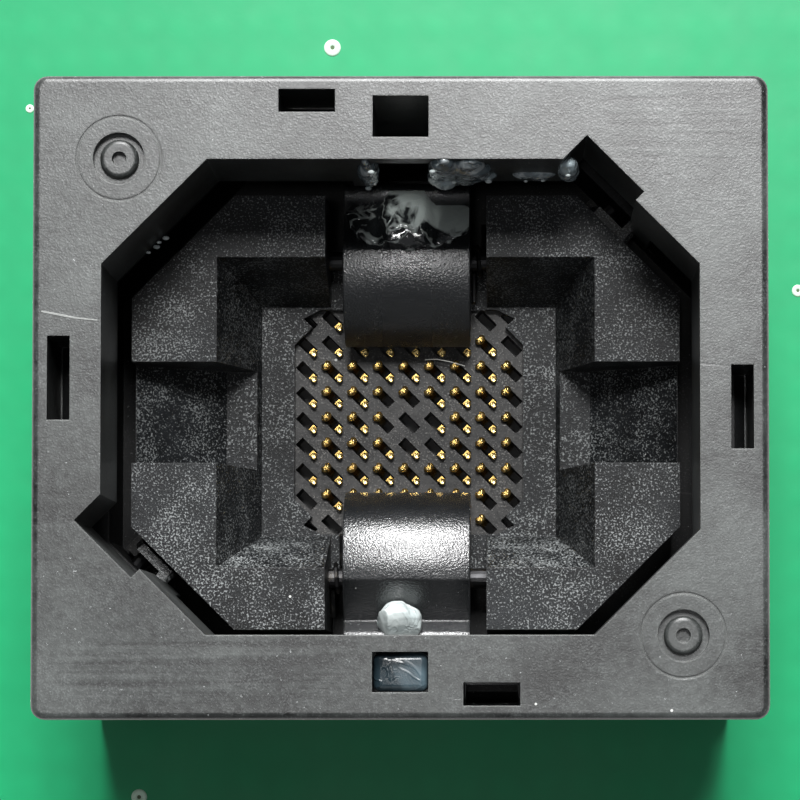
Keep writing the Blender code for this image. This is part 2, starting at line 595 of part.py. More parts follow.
def arm_outlines():
    """The two arms of a contact, along the diagonal from the ball's centre and in Z."""
    root, top = BLOCK_TOP - 0.5, SLIDER_TOP
    s, reach = SPRUNG_ARM, TIP_REACH
    sprung = [
        (s, root), (s + ARM_T, root), (s + ARM_T, top - 0.1), (reach + 0.16, top + TIP_RISE),
        (reach + 0.03, top + TIP_RISE), (reach, top + 0.16), (s, top + 0.05),
    ]
    f, end = -FIXED_ARM, top + TIP_RISE - 0.06
    fixed = [(f - ARM_T, root), (f, root), (f, top + 0.1), (f + 0.05, end), (f - ARM_T, end)]
    return [sprung, fixed]


def make_contact_block(plastic):
    """The carrier with all its pinch contacts and their tails."""
    carrier = block("contact_block", (-BLOCK_X, -BLOCK_Y, BLOCK_BOTTOM), (BLOCK_X, BLOCK_Y, BLOCK_TOP))
    arms = bmesh.new()
    for number, outline in enumerate(arm_outlines()):
        arm = plate(f"arm_{number}", [outline], -CONTACT_T / 2, CONTACT_T / 2, "ACROSS", CUTTERS)
        for x, y in ball_places():
            copied = arm.data.copy()
            copied.transform(Matrix.Translation((x * MM, y * MM, 0.0)))
            arms.from_mesh(copied)
            bpy.data.meshes.remove(copied)
        bpy.data.objects.remove(arm)
    join(carrier, from_bmesh("contact_arms", arms, CUTTERS))
    tails = bmesh.new()
    half, low = TAIL_SIDE / 2, BOARD_BOTTOM - TAIL_BELOW
    for x, y in ball_places():
        add_block(tails, (x - half, y - half, low), (x + half, y + half, BLOCK_BOTTOM + 0.4))
    join(carrier, from_bmesh("contact_tails", tails, CUTTERS))
    dress(carrier, plastic)


def slider_outline():
    """Plate with an arm towards each lever, and a forked head on each arm."""
    points = []
    for name, along, side in lever_places():
        grip, fork, (first, last) = LEVER_BULB_R + SEAT, LEVER_IN - 0.08, ARM_SPANS[name]
        left, right = along - EAR_HALF, along + EAR_HALF
        edge = [(first, None), (first, HEAD_FROM), (left, HEAD_FROM), (left, EAR_END)]
        edge += [(along - grip, EAR_END), (along - grip, fork)]
        edge += [(along + grip, fork), (along + grip, EAR_END)]
        edge += [(right, EAR_END), (right, HEAD_FROM), (last, HEAD_FROM), (last, None)]
        run = [ear_point(a, side, across) for a, across in edge]
        corner = side * (SLIDER_X - SLIDER_Y) / ROOT2
        points += [(-side * SLIDER_X, side * SLIDER_Y)]
        if not first < corner < last:
            points.append((side * SLIDER_X, side * SLIDER_Y))
        points += run if side > 0 else run[::-1]
    return points


def ear_point(along, side, across):
    """A point of an ear's side: at its end, or where that side leaves the plate's edge."""
    if across is not None:
        return tuple((ALONG * along + ACROSS * side * across)[:2])
    x = side * SLIDER_Y + along * ROOT2
    if abs(x) < SLIDER_X:
        return (x, side * SLIDER_Y)
    return (side * SLIDER_X, side * SLIDER_X - along * ROOT2)


def make_slider(plastic):
    """Plate whose slots pass the contact arms, with a forked ear to each lever."""
    length, width = SLOT_HALF_LENGTH, SLOT_HALF_WIDTH
    slot = diagonal_rectangle((-length, length), (-width, width))
    slots = [[(x + cx, y + cy) for cx, cy in slot] for x, y in slot_places()]
    dress(plate("slider_plate", [slider_outline(), *slots], SLIDER_BOTTOM, SLIDER_TOP), plastic)


def latch_outline():
    """Side view of the north latch: contact lip, domed back, hub and cam nose."""
    back = (LATCH_CREST_Y, LATCH_TIP_Z - 0.09)
    nose = (PIVOT_Y + NOSE_Y, PIVOT_Z + NOSE_Z)
    start = math.degrees(math.acos((LATCH_TIP_Y + 0.015 - back[0]) / LATCH_BACK_R))
    end = math.degrees(math.acos((LATCH_BACK_END - back[0]) / LATCH_BACK_R))
    y, z = LATCH_TIP_Y, LATCH_TIP_Z
    points = [(y, z), (y + 1.0, z), (y + 1.1, z + 0.2), (y + 1.5, z + 0.2)]
    points += arc((PIVOT_Y, PIVOT_Z), HUB_R, 195, 325, 8)
    points += arc(nose, NOSE_R, -40, 130, 8)
    points += [(nose[0] - 0.55, nose[1] - 0.12)]
    points += arc(back, LATCH_BACK_R, end, start, 12)
    return points


def make_latch(name, side, plastic):
    outline = [(side * y, z) for y, z in latch_outline()]
    bore = circle((side * PIVOT_Y, PIVOT_Z), LATCH_PIN_R + RUNNING_GAP, 16)
    latch = plate(name, [outline, bore], -LATCH_X, LATCH_X, "X")
    dress(latch, plastic, (0.0, side * PIVOT_Y, PIVOT_Z))


def make_latch_pin(name, side, steel):
    reach, y = EAR_X[1] - SEAT, side * PIVOT_Y
    dress(rod(name, (-reach, y, PIVOT_Z), (reach, y, PIVOT_Z), LATCH_PIN_R, 16), steel)


def lever_outline(along):
    """Upright rocker: driving bulb below, hub, and a cam nub above at its south-east end."""
    hub = (along, LEVER_PIVOT_Z)
    bulb = (along, LEVER_PIVOT_Z - LEVER_DROP)
    nub_end, nub_z = along + LEVER_REACH, LEVER_PIVOT_Z + LEVER_RISE
    points = arc(bulb, LEVER_BULB_R, 135, 405, 8)
    points += [(along + LEVER_LEG, SLIDER_TOP + 0.1)]
    points += arc(hub, LEVER_HUB_R, -50, 20, 3)
    points += [(nub_end - 0.35, nub_z - 0.3), (nub_end, nub_z - 0.25), (nub_end, nub_z + 0.1)]
    points += [(nub_end - 0.12, nub_z + 0.2), (along - 0.15, nub_z + 0.2)]
    points += arc(hub, LEVER_HUB_R, 160, 230, 3)
    points += [(along - LEVER_LEG, SLIDER_TOP + 0.1)]
    return points


def make_lever(name, along, side, plastic):
    low, high = sorted((side * LEVER_IN, side * LEVER_OUT))
    bore = circle((along, LEVER_PIVOT_Z), LEVER_PIN_R + RUNNING_GAP, 12)
    lever = plate(name, [lever_outline(along), bore], low, high, "ACROSS")
    nub_end, nub_z = along + LEVER_REACH, LEVER_PIVOT_Z + LEVER_RISE
    low, high = sorted((side * (LEVER_OUT - 0.1), side * LEVER_NUB_OUT))
    nub = [(nub_end - 0.4, nub_z - 0.2), (nub_end, nub_z - 0.25), (nub_end, nub_z + 0.1)]
    nub += [(nub_end - 0.12, nub_z + 0.2), (nub_end - 0.4, nub_z + 0.2)]
    join(lever, plate(f"{name}_nub", [nub], low, high, "ACROSS", CUTTERS))
    pivot = ALONG * along + ACROSS * side * LEVER_IN
    dress(lever, plastic, (pivot.x, pivot.y, LEVER_PIVOT_Z))


def make_lever_pin(name, along, side, steel):
    start = ALONG * along + ACROSS * side * LEVER_PIN_FROM
    end = ALONG * along + ACROSS * side * LEVER_PIN_TO
    dress(rod(name, (*start[:2], LEVER_PIVOT_Z), (*end[:2], LEVER_PIVOT_Z), LEVER_PIN_R, 12), steel)


def wire(name, points, thickness, steel):
    """A round wire through a list of points in millimetres."""
    curve = bpy.data.curves.new(name, "CURVE")
    curve.dimensions = "3D"
    curve.bevel_depth = thickness * MM
    curve.bevel_resolution = 1
    curve.use_fill_caps = True
    spline = curve.splines.new("POLY")
    spline.points.add(len(points) - 1)
    for point, place in zip(spline.points, points):
        point.co = (*(c * MM for c in place), 1.0)
    obj = bpy.data.objects.new(name, curve)
    PARTS.objects.link(obj)
    bpy.context.view_layer.update()
    dress(curve_to_mesh(obj, name, PARTS), steel)


def make_return_spring(name, sx, sy, steel):
    low = WELL_BOTTOM + RETURN_WIRE + SEAT
    high = COVER_TOP - POCKET_TOP_T - RETURN_WIRE - SEAT
    closed, steps = 0.75, 8
    count = int(RETURN_TURNS * steps)
    points = []
    for i in range(count + 1):
        turn = i / steps
        share = min(max((turn - closed) / (RETURN_TURNS - 2 * closed), 0.0), 1.0)
        grow = RETURN_WIRE * 2.2 * (min(turn, closed) + max(turn - RETURN_TURNS + closed, 0.0))
        rise = share * (high - low - RETURN_WIRE * 4.4 * closed) + grow
        angle = 2 * math.pi * turn
        x, y = sx * SPRING_X + RETURN_R * math.cos(angle), sy * SPRING_Y + RETURN_R * math.sin(angle)
        points.append((x, y, low + rise))
    wire(name, points, RETURN_WIRE, steel)


def make_torsion_spring(name, side, steel):
    """Coil round a latch pin, in the gap beside the latch, with a leg to each side."""
    gap_from, gap_to = LATCH_X, LATCH_CHANNEL_X
    margin = TORSION_WIRE + 0.04
    steps = 10
    count = int(TORSION_TURNS * steps) + 4
    coil = []
    for i in range(count + 1):
        angle = math.radians(200) + 2 * math.pi * i / steps
        x = gap_from + margin + (gap_to - gap_from - 2 * margin) * i / count
        y, z = PIVOT_Y + TORSION_R * math.cos(angle), PIVOT_Z + TORSION_R * math.sin(angle)
        coil.append((side * x, side * y, z))
    first, last = coil[0], coil[-1]
    lead = (first[0], first[1] - side * 0.9, first[2] + 0.45)
    rest = (last[0], last[1] + side * 0.75, last[2] - 0.35)
    wire(name, [lead, *coil, rest], TORSION_WIRE, steel)


def glue_lump(name, low, high, side, ceiling_r, gum):
    """A cast bead on a latch's back, kept under the circle that passes the cover's rib."""
    shape = bmesh.new()
    middle = [(a + b) / 2 * MM for a, b in zip(low, high)]
    size = [(b - a) / 2 * MM for a, b in zip(low, high)]
    matrix = Matrix.Translation(middle) @ Matrix.Diagonal((*size, 1.0))
    bmesh.ops.create_uvsphere(shape, u_segments=16, v_segments=8, radius=1.0, matrix=matrix)
    lump = from_bmesh(name, shape)
    outline = [(side * y, z) for y, z in offset_back(SEAT)]
    cut(lump, plate(f"cut_under_{name}", [outline], -LATCH_X - 1, LATCH_X + 1, "X", CUTTERS))
    x, y = LATCH_X - SEAT, side * PIVOT_Y
    keep = rod(f"keep_{name}", (-x, y, PIVOT_Z), (x, y, PIVOT_Z), ceiling_r, 48, CUTTERS)
    combine(lump, keep, "INTERSECT")
    dress(lump, gum, (0.0, side * PIVOT_Y, PIVOT_Z))


def offset_back(gap):
    """The latch's outline with its upper side raised a little, as a mould for what lies on it."""
    back = (LATCH_CREST_Y, LATCH_TIP_Z - 0.09)
    nose = (PIVOT_Y + NOSE_Y, PIVOT_Z + NOSE_Z)
    end = math.degrees(math.acos((LATCH_BACK_END - back[0]) / LATCH_BACK_R))
    points = [(LATCH_TIP_Y, LATCH_TIP_Z - 1.5), (nose[0] + 1.0, LATCH_TIP_Z - 1.5)]
    points += arc(nose, NOSE_R + gap, -10, 125, 7)
    points += [(nose[0] - 0.55, nose[1] - 0.12 + gap * 1.3)]
    points += arc(back, LATCH_BACK_R + gap, end, 170, 10)
    return points


def make_window_glue(gum):
    x, (near, far) = WINDOW_X - SEAT, WINDOW_Y
    top = COVER_TOP - 0.35
    shape = bmesh.new()
    add_block(shape, (-x, -far + SEAT, top - 2.2), (x, -near - SEAT, top))
    edges = [e for e in shape.edges if min(v.co.z for v in e.verts) > (top - 0.1) * MM]
    bmesh.ops.bevel(shape, geom=edges, offset=0.18 * MM, segments=2, profile=0.5, affect="EDGES")
    dress(from_bmesh("glue_window", shape), gum)


def main():
    clear_scene()
    black = finish("black_cover_plastic", (0.045, 0.047, 0.048), 0.45)
    speckled = finish("filled_nest_plastic", (0.03, 0.032, 0.034), 0.5)
    satin = finish("latch_plastic", (0.025, 0.026, 0.027), 0.35)
    brown = finish("slider_plastic", (0.06, 0.052, 0.052), 0.5)
    green = finish("green_board", (0.01, 0.30, 0.13), 0.3)
    header = finish("header_plastic", (0.02, 0.02, 0.02), 0.5)
    steel = finish("spring_steel", (0.6, 0.6, 0.58), 0.3, 1.0)
    gum = finish("clear_glue", (0.62, 0.68, 0.68), 0.15, 0.0, 0.6)
    make_board(green)
    make_header("pin_header_left", -HEADER_CENTRE_X, header)
    make_header("pin_header_right", HEADER_CENTRE_X, header)
    make_base(black)
    make_contact_block(black)
    make_slider(brown)
    make_nest(speckled)
    make_cover(black)
    for side, label in ((1, "north"), (-1, "south")):
        make_latch(f"latch_{label}", side, satin)
        make_latch_pin(f"latch_pin_{label}", side, steel)
        make_torsion_spring(f"latch_spring_{label}", side, steel)
    for label, along, side in lever_places():
        make_lever(f"lever_{label}", along, side, satin)
        make_lever_pin(f"lever_pin_{label}", along, side, steel)
    for sx, sy, label in spring_corners():
        make_return_spring(f"return_spring_{label}", sx, sy, steel)
    glue_lump("glue_latch_north", (-1.85, 4.95, 18.9), (1.88, 6.75, 20.6), 1, 2.03, gum)
    glue_lump("glue_latch_south", (-0.9, -6.6, 19.0), (0.5, -5.45, 20.1), -1, 2.02, gum)
    make_window_glue(gum)


if __name__ == "__main__":
    main()
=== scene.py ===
"""Looks of the plug-in programmer adapter: finishes, moulded detail, contacts, glue and the studio."""

import logging
import math
from dataclasses import dataclass
from enum import Enum

import bmesh
import bpy
from mathutils import Matrix, Vector


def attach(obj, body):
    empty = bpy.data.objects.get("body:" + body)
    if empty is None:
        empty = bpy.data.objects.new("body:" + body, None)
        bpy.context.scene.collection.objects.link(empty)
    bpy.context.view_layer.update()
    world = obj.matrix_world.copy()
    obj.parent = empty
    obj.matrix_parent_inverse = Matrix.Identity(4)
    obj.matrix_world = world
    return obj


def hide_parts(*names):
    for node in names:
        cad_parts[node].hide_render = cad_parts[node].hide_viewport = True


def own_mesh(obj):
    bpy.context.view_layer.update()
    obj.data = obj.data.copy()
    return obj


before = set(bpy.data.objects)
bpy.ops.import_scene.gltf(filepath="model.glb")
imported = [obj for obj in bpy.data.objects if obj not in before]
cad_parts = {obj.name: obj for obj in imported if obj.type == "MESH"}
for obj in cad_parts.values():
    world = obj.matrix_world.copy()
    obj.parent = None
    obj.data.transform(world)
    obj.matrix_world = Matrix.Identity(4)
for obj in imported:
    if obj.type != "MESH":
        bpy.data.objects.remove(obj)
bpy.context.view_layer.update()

LOG = logging.getLogger("adapter")

MM = 0.001
ROOT2 = math.sqrt(2.0)
# The contacts lie along the diagonal from north-west to south-east
ALONG = Vector((1.0, -1.0, 0.0)) / ROOT2
ACROSS = Vector((1.0, 1.0, 0.0)) / ROOT2

# Levels, lengths and clearances, in millimetres
BOARD_TOP = 10.16
COVER_TOP = 26.16
RING_BOTTOM = 22.0
LATCH_PIVOT = (4.9, 18.02)
PAST = 1
MERGE_CORNERS = 0.004
MERGE_WIRE = 0.001
FLAT_FROM = 0.3

# Turns between faces, in degrees
SAME_FACE = 0.6
ROUND_TURN = 50.0
LUMP_TURN = 80.0

# What settles and shows on the plastic
DUST_COLOUR = (0.55, 0.56, 0.54)
LINE_COLOUR = (0.16, 0.16, 0.16)
SCRATCH_COLOUR = (0.3, 0.31, 0.3)
SEAM_COLOUR = (0.006, 0.006, 0.006)
Point = tuple[float, float]
Place = tuple[float, float, float]
Colour = tuple[float, float, float]


class Body(Enum):
    """The rigid bodies that a piece can ride on."""

    BASE = "adapter_base"
    COVER = "press_cover"
    NORTH_LATCH = "north_latch_body"
    SOUTH_LATCH = "south_latch_body"


class Slot(Enum):
    """The record's material slots."""

    BOARD = "green_board"
    COVER = "black_cover_plastic"
    NEST = "filled_nest_plastic"
    LATCH = "latch_plastic"
    STEEL = "spring_steel"
    GLUE = "clear_glue"


class Plane(Enum):
    """The way an outline's own two axes and its thickness lie in the row's frame."""

    LEVEL = Matrix.Identity(4)
    FACING_X = Matrix(((0, 0, 1, 0), (1, 0, 0, 0), (0, 1, 0, 0), (0, 0, 0, 1)))
    FACING_Y = Matrix(((1, 0, 0, 0), (0, 0, 1, 0), (0, 1, 0, 0), (0, 0, 0, 1)))
    FACING_ACROSS = Matrix((
        (1 / ROOT2, 0, 1 / ROOT2, 0), (-1 / ROOT2, 0, 1 / ROOT2, 0), (0, 1, 0, 0), (0, 0, 0, 1),
    ))


# Modelling tools


def deselect() -> None:
    """Leaves no object selected."""
    if bpy.context.object and bpy.context.object.mode != "OBJECT":
        bpy.ops.object.mode_set(mode="OBJECT")
    bpy.ops.object.select_all(action="DESELECT")


def pick(obj: bpy.types.Object) -> None:
    """Makes obj the one selected and active object.

    Args:
        obj: The object to select.
    """
    deselect()
    obj.select_set(True)
    bpy.context.view_layer.objects.active = obj


def edit_all(obj: bpy.types.Object) -> None:
    """Opens obj in edit mode with everything selected.

    Args:
        obj: The mesh object to edit.
    """
    pick(obj)
    bpy.ops.object.mode_set(mode="EDIT")
    bpy.ops.mesh.select_all(action="SELECT")


def bake_place(obj: bpy.types.Object) -> None:
    """Moves an object's place into its mesh, which leaves it at the origin.

    Args:
        obj: The object to settle.
    """
    pick(obj)
    bpy.ops.object.transform_apply(location=True, rotation=True, scale=True)


def outline_solid(
    name: str, points: list[Point], low: float, high: float, plane: Plane = Plane.LEVEL
) -> bpy.types.Object:
    """Extrudes a closed outline into a solid.

    Args:
        name: The new object's name.
        points: Corners of the outline, in millimetres.
        low: Level where the solid starts along the plane's normal, in millimetres.
        high: Level where it ends.
        plane: The way the outline lies.

    Returns:
        The solid, with its place in its mesh.
    """
    deselect()
    bpy.ops.mesh.primitive_circle_add(vertices=len(points), radius=MM, fill_type="NGON")
    obj = bpy.context.object
    obj.name = name
    for vertex, (a, b) in zip(obj.data.vertices, points):
        vertex.co = (a * MM, b * MM, low * MM)
    edit_all(obj)
    bpy.ops.mesh.extrude_region_move(TRANSFORM_OT_translate={"value": (0.0, 0.0, (high - low) * MM)})
    bpy.ops.object.mode_set(mode="OBJECT")
    obj.data.transform(plane.value)
    edit_all(obj)
    bpy.ops.mesh.normals_make_consistent(inside=False)
    bpy.ops.object.mode_set(mode="OBJECT")
    return obj


def box_solid(name: str, low: Place, high: Place) -> bpy.types.Object:
    """A box between two corners.

    Args:
        name: The new object's name.
        low: Lowest corner, in millimetres.
        high: Highest corner, in millimetres.

    Returns:
        The box, with its place in its mesh.
    """
    deselect()
    middle = [(a + b) / 2 * MM for a, b in zip(low, high)]
    bpy.ops.mesh.primitive_cube_add(size=1.0, location=middle)
    obj = bpy.context.object
    obj.name = name
    obj.scale = [(b - a) * MM for a, b in zip(low, high)]
    bake_place(obj)
    return obj


def rod_solid(name: str, start: Place, end: Place, radius: float, sides: int) -> bpy.types.Object:
    """A cylinder between two points.

    Args:
        name: The new object's name.
        start: Centre of one end, in millimetres.
        end: Centre of the other end.
        radius: Radius in millimetres.
        sides: Number of flat sides.

    Returns:
        The cylinder, with its place in its mesh.
    """
    a, b = Vector(start) * MM, Vector(end) * MM
    turn = (b - a).to_track_quat("Z", "Y").to_euler()
    deselect()
    bpy.ops.mesh.primitive_cylinder_add(
        vertices=sides, radius=radius * MM, depth=(b - a).length, location=(a + b) / 2, rotation=turn
    )
    obj = bpy.context.object
    obj.name = name
    bake_place(obj)
    return obj


def combine(target: bpy.types.Object, tool: bpy.types.Object, operation: str = "DIFFERENCE") -> None:
    """Cuts or joins a tool into a target for good, and deletes the tool.

    Args:
        target: The object that is changed.
        tool: The object that shapes it.
        operation: Blender's name for the Boolean operation.
    """
    pick(target)
    modifier = target.modifiers.new("shape", "BOOLEAN")
    modifier.operation = operation
    modifier.object = tool
    bpy.ops.object.modifier_apply(modifier=modifier.name)
    bpy.data.objects.remove(tool)


def soften_edges(
    obj: bpy.types.Object, width: float, segments: int = 2, angle: float = 34.0, even: bool = False
) -> None:
    """Rounds an object's sharp edges and keeps its flat faces flat in the light.

    Args:
        obj: The object to round.
        width: Width of the rounding, in millimetres.
        segments: Steps across the rounding.
        angle: Smallest turn, in degrees, that counts as an edge.
        even: Whether large faces lead the shading, which long strips of a curved face need.
    """
    edit_all(obj)
    bpy.ops.mesh.remove_doubles(threshold=MERGE_CORNERS * MM)
    bpy.ops.mesh.dissolve_limited(angle_limit=math.radians(SAME_FACE))
    bpy.ops.mesh.normals_make_consistent(inside=False)
    bpy.ops.object.mode_set(mode="OBJECT")
    modifier = obj.modifiers.new("round", "BEVEL")
    modifier.width = width * MM
    modifier.segments = segments
    modifier.limit_method = "ANGLE"
    modifier.angle_limit = math.radians(angle)
    modifier.use_clamp_overlap = True
    modifier.miter_outer = "MITER_ARC"
    bpy.ops.object.modifier_apply(modifier=modifier.name)
    smooth(obj)
    corners = obj.data.vertices
    for face in obj.data.polygons:
        ends = [corners[v].co for v in face.vertices]
        shortest = min((a - b).length for a, b in zip(ends, ends[1:] + ends[:1]))
        face.use_smooth = len(ends) <= 4 and shortest < FLAT_FROM * MM
    if even:
        modifier = obj.modifiers.new("even", "WEIGHTED_NORMAL")
        bpy.ops.object.modifier_apply(modifier=modifier.name)


def smooth(obj: bpy.types.Object, angle: float = 40.0) -> None:
    """Shades an object smooth, apart from edges that turn by more than an angle.

    Args:
        obj: The object to shade.
        angle: The angle in degrees.
    """
    pick(obj)
    bpy.ops.object.shade_smooth_by_angle(angle=math.radians(angle))


def arc(centre: Point, radius: float, start: float, end: float, steps: int) -> list[Point]:
    """Points along an arc.

    Args:
        centre: Centre of the arc.
        radius: Its radius.
        start: First angle in degrees.
        end: Last angle in degrees.
        steps: Number of steps between them.

    Returns:
        The points, ends included.
    """
    turns = [math.radians(start + (end - start) * i / steps) for i in range(steps + 1)]
    return [(centre[0] + radius * math.cos(t), centre[1] + radius * math.sin(t)) for t in turns]


def octagon(half_x: float, half_y: float, chamfer: float) -> list[Point]:
    """Corners of a rectangle with cut corners.

    Args:
        half_x: Half the length along X.
        half_y: Half the length along Y.
        chamfer: How far each corner is cut along both axes.

    Returns:
        Eight corners, anticlockwise.
    """
    x, y = half_x - chamfer, half_y - chamfer
    return [
        (half_x, -y), (half_x, y), (x, half_y), (-x, half_y),
        (-half_x, y), (-half_x, -y), (-x, -half_y), (x, -half_y),
    ]


def slanted(along: Point, across: Point) -> list[Point]:
    """Corners in X and Y of a rectangle that lies along the diagonals.

    Args:
        along: Its span from north-west to south-east.
        across: Its span from south-west to north-east.

    Returns:
        Four corners.
    """
    corners = [(along[0], across[0]), (along[1], across[0]), (along[1], across[1]), (along[0], across[1])]
    return [tuple((ALONG * a + ACROSS * c)[:2]) for a, c in corners]


def join_copies(name: str, source: bpy.types.Object, places: list[Place]) -> bpy.types.Object:
    """One object made of copies of a small one.

    Args:
        name: The new object's name.
        source: The small object, which is deleted afterwards.
        places: Where the copies go, in millimetres.

    Returns:
        The joined object.
    """
    shape = bmesh.new()
    for place in places:
        copied = source.data.copy()
        copied.transform(Matrix.Translation(Vector(place) * MM))
        shape.from_mesh(copied)
        bpy.data.meshes.remove(copied)
    mesh = bpy.data.meshes.new(name)
    shape.to_mesh(mesh)
    shape.free()
    bpy.data.objects.remove(source)
    obj = bpy.data.objects.new(name, mesh)
    bpy.context.scene.collection.objects.link(obj)
    smooth(obj, ROUND_TURN)
    return obj


def wire_solid(name: str, points: list[Place], radius: float, sides: int = 2) -> bpy.types.Object:
    """A round wire through points, as a mesh.

    Args:
        name: The new object's name.
        points: The wire's path, in millimetres.
        radius: Wire radius in millimetres.
        sides: Blender's bevel resolution of the wire.

    Returns:
        The wire.
    """
    curve = bpy.data.curves.new(name, "CURVE")
    curve.dimensions = "3D"
    curve.bevel_depth = radius * MM
    curve.bevel_resolution = sides
    curve.use_fill_caps = True
    spline = curve.splines.new("POLY")
    spline.points.add(len(points) - 1)
    for point, place in zip(spline.points, points):
        point.co = (*(c * MM for c in place), 1.0)
    obj = bpy.data.objects.new(name, curve)
    bpy.context.scene.collection.objects.link(obj)
    pick(obj)
    bpy.ops.object.convert(target="MESH")
    obj = bpy.context.object
    edit_all(obj)
    bpy.ops.mesh.remove_doubles(threshold=MERGE_WIRE * MM)
    bpy.ops.mesh.normals_make_consistent(inside=False)
    bpy.ops.object.mode_set(mode="OBJECT")
    smooth(obj, ROUND_TURN)
    return obj


def fit(
    obj: bpy.types.Object, body: Body, material: bpy.types.Material, slot: Slot, *replaced: str
) -> bpy.types.Object:
    """Gives a piece its finish and its body, hides the CAD nodes that it stands for, and reports it.

    Args:
        obj: The finished piece.
        body: The body that it rides on.
        material: Its finish.
        slot: Not used.
        *replaced: CAD nodes that it stands for.

    Returns:
        The piece.
    """
    obj.data.materials.clear()
    obj.data.materials.append(material)
    if replaced:
        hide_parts(*replaced)
    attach(obj, body.value)
    LOG.info("%s: %d faces on %s", obj.name, len(obj.data.polygons), body.value)
    return obj


# Material tools

Socket = bpy.types.NodeSocket


class Tree:
    """Short ways to add and connect a node tree's nodes."""

    def __init__(self, tree: bpy.types.NodeTree) -> None:
        """Keeps the tree.

        Args:
            tree: The node tree to work on.
        """
        self.tree = tree

    def feed(self, socket: Socket, value: object) -> None:
        """Connects an output to a socket, or sets the socket's own value.

        Args:
            socket: The input.
            value: An output socket, a number, a colour or a vector.
        """
        if isinstance(value, bpy.types.NodeSocket):
            self.tree.links.new(value, socket)
        elif isinstance(value, tuple) and len(value) == 3 and socket.type == "RGBA":
            socket.default_value = (*value, 1.0)
        else:
            socket.default_value = value

    def add(self, kind: str, inputs: dict | None = None, **settings: object) -> bpy.types.Node:
        """Adds a node.

        Args:
            kind: Blender's name for the node type, without its ShaderNode prefix.
            inputs: Values or outputs for its inputs, by name or number.
            **settings: The node's own settings.

        Returns:
            The node.
        """
        node = self.tree.nodes.new(f"ShaderNode{kind}")
        for key, value in settings.items():
            setattr(node, key, value)
        for key, value in (inputs or {}).items():
            self.feed(node.inputs[key], value)
        return node

    def math(self, operation: str, *values: object, clamp: bool = False) -> Socket:
        """A math node's result.

        Args:
            operation: Blender's name for the operation.
            *values: Numbers or outputs.
            clamp: Whether the result stays within 0 and 1.

        Returns:
            The output.
        """
        node = self.add("Math", dict(enumerate(values)), operation=operation, use_clamp=clamp)
        return node.outputs[0]

    def noise(self, vector: object, scale: object, detail: float = 2.0, bend: float = 0.0) -> Socket:
        """A noise texture's value.

        Args:
            vector: Where it is read.
            scale: Its scale.
            detail: Its detail.
            bend: Its distortion.

        Returns:
            The value output.
        """
        inputs = {"Vector": vector, "Scale": scale, "Detail": detail, "Distortion": bend}
        return self.add("TexNoise", inputs).outputs[0]

    def rise(self, value: object, low: object, high: object) -> Socket:
        """A smooth step from 0 at low to 1 at high.

        Args:
            value: The value that is tested.
            low: Where the step starts.
            high: Where it ends.

        Returns:
            The step's output.
        """
        inputs = {"Value": value, "From Min": low, "From Max": high, "To Min": 0.0, "To Max": 1.0}
        node = self.add("MapRange", inputs, interpolation_type="SMOOTHSTEP")
        return node.outputs["Result"]

    def blend(self, share: object, first: object, second: object) -> Socket:
        """A mix of two colours.

        Args:
            share: Share of the second colour.
            first: The first colour.
            second: The second colour.

        Returns:
            The mixed colour.
        """
        node = self.add("Mix", data_type="RGBA")
        for index, value in ((0, share), (6, first), (7, second)):
            self.feed(node.inputs[index], value)
        return node.outputs[2]

    def part(self, vector: Socket, axis: int) -> Socket:
        """One of a vector's three numbers.

        Args:
            vector: The vector output.
            axis: 0, 1 or 2 for X, Y or Z.

        Returns:
            The number's output.
        """
        return self.add("SeparateXYZ", {"Vector": vector}).outputs[axis]

    def facing(self, axis: int) -> Socket:
        """How far the surface looks along an axis.

        Args:
            axis: 0, 1 or 2 for X, Y or Z.

        Returns:
            The output, from -1 to 1.
        """
        return self.part(self.add("NewGeometry").outputs["Normal"], axis)

    def apart(self, first: object, second: object) -> Socket:
        """The vector from a second place to a first.

        Args:
            first: The place it ends at.
            second: The place it starts from.

        Returns:
            The vector output.
        """
        return self.add("VectorMath", {0: first, 1: second}, operation="SUBTRACT").outputs[0]

    def dot(self, first: object, second: object) -> Socket:
        """The dot product of two vectors.

        Args:
            first: One vector.
            second: The other.

        Returns:
            The number's output.
        """
        node = self.add("VectorMath", {0: first, 1: second}, operation="DOT_PRODUCT")
        return node.outputs["Value"]

    def stretch(self, vector: object, scale: Place, turn: Place = (0.0, 0.0, 0.0)) -> Socket:
        """A vector turned and stretched.

        Args:
            vector: The vector output.
            scale: The stretch on each axis.
            turn: Turn about each axis, in radians.

        Returns:
            The mapped vector.
        """
        inputs = {"Vector": vector, "Scale": scale, "Rotation": turn}
        return self.add("Mapping", inputs).outputs[0]

    def group(self, effect: bpy.types.NodeTree, **inputs: object) -> bpy.types.Node:
        """Places a node group.

        Args:
            effect: The group.
            **inputs: Values or outputs, with spaces in names as underscores.

        Returns:
            The group node.
        """
        node = self.add("Group", node_tree=effect)
        for key, value in inputs.items():
            self.feed(node.inputs[key.replace("_", " ")], value)
        return node


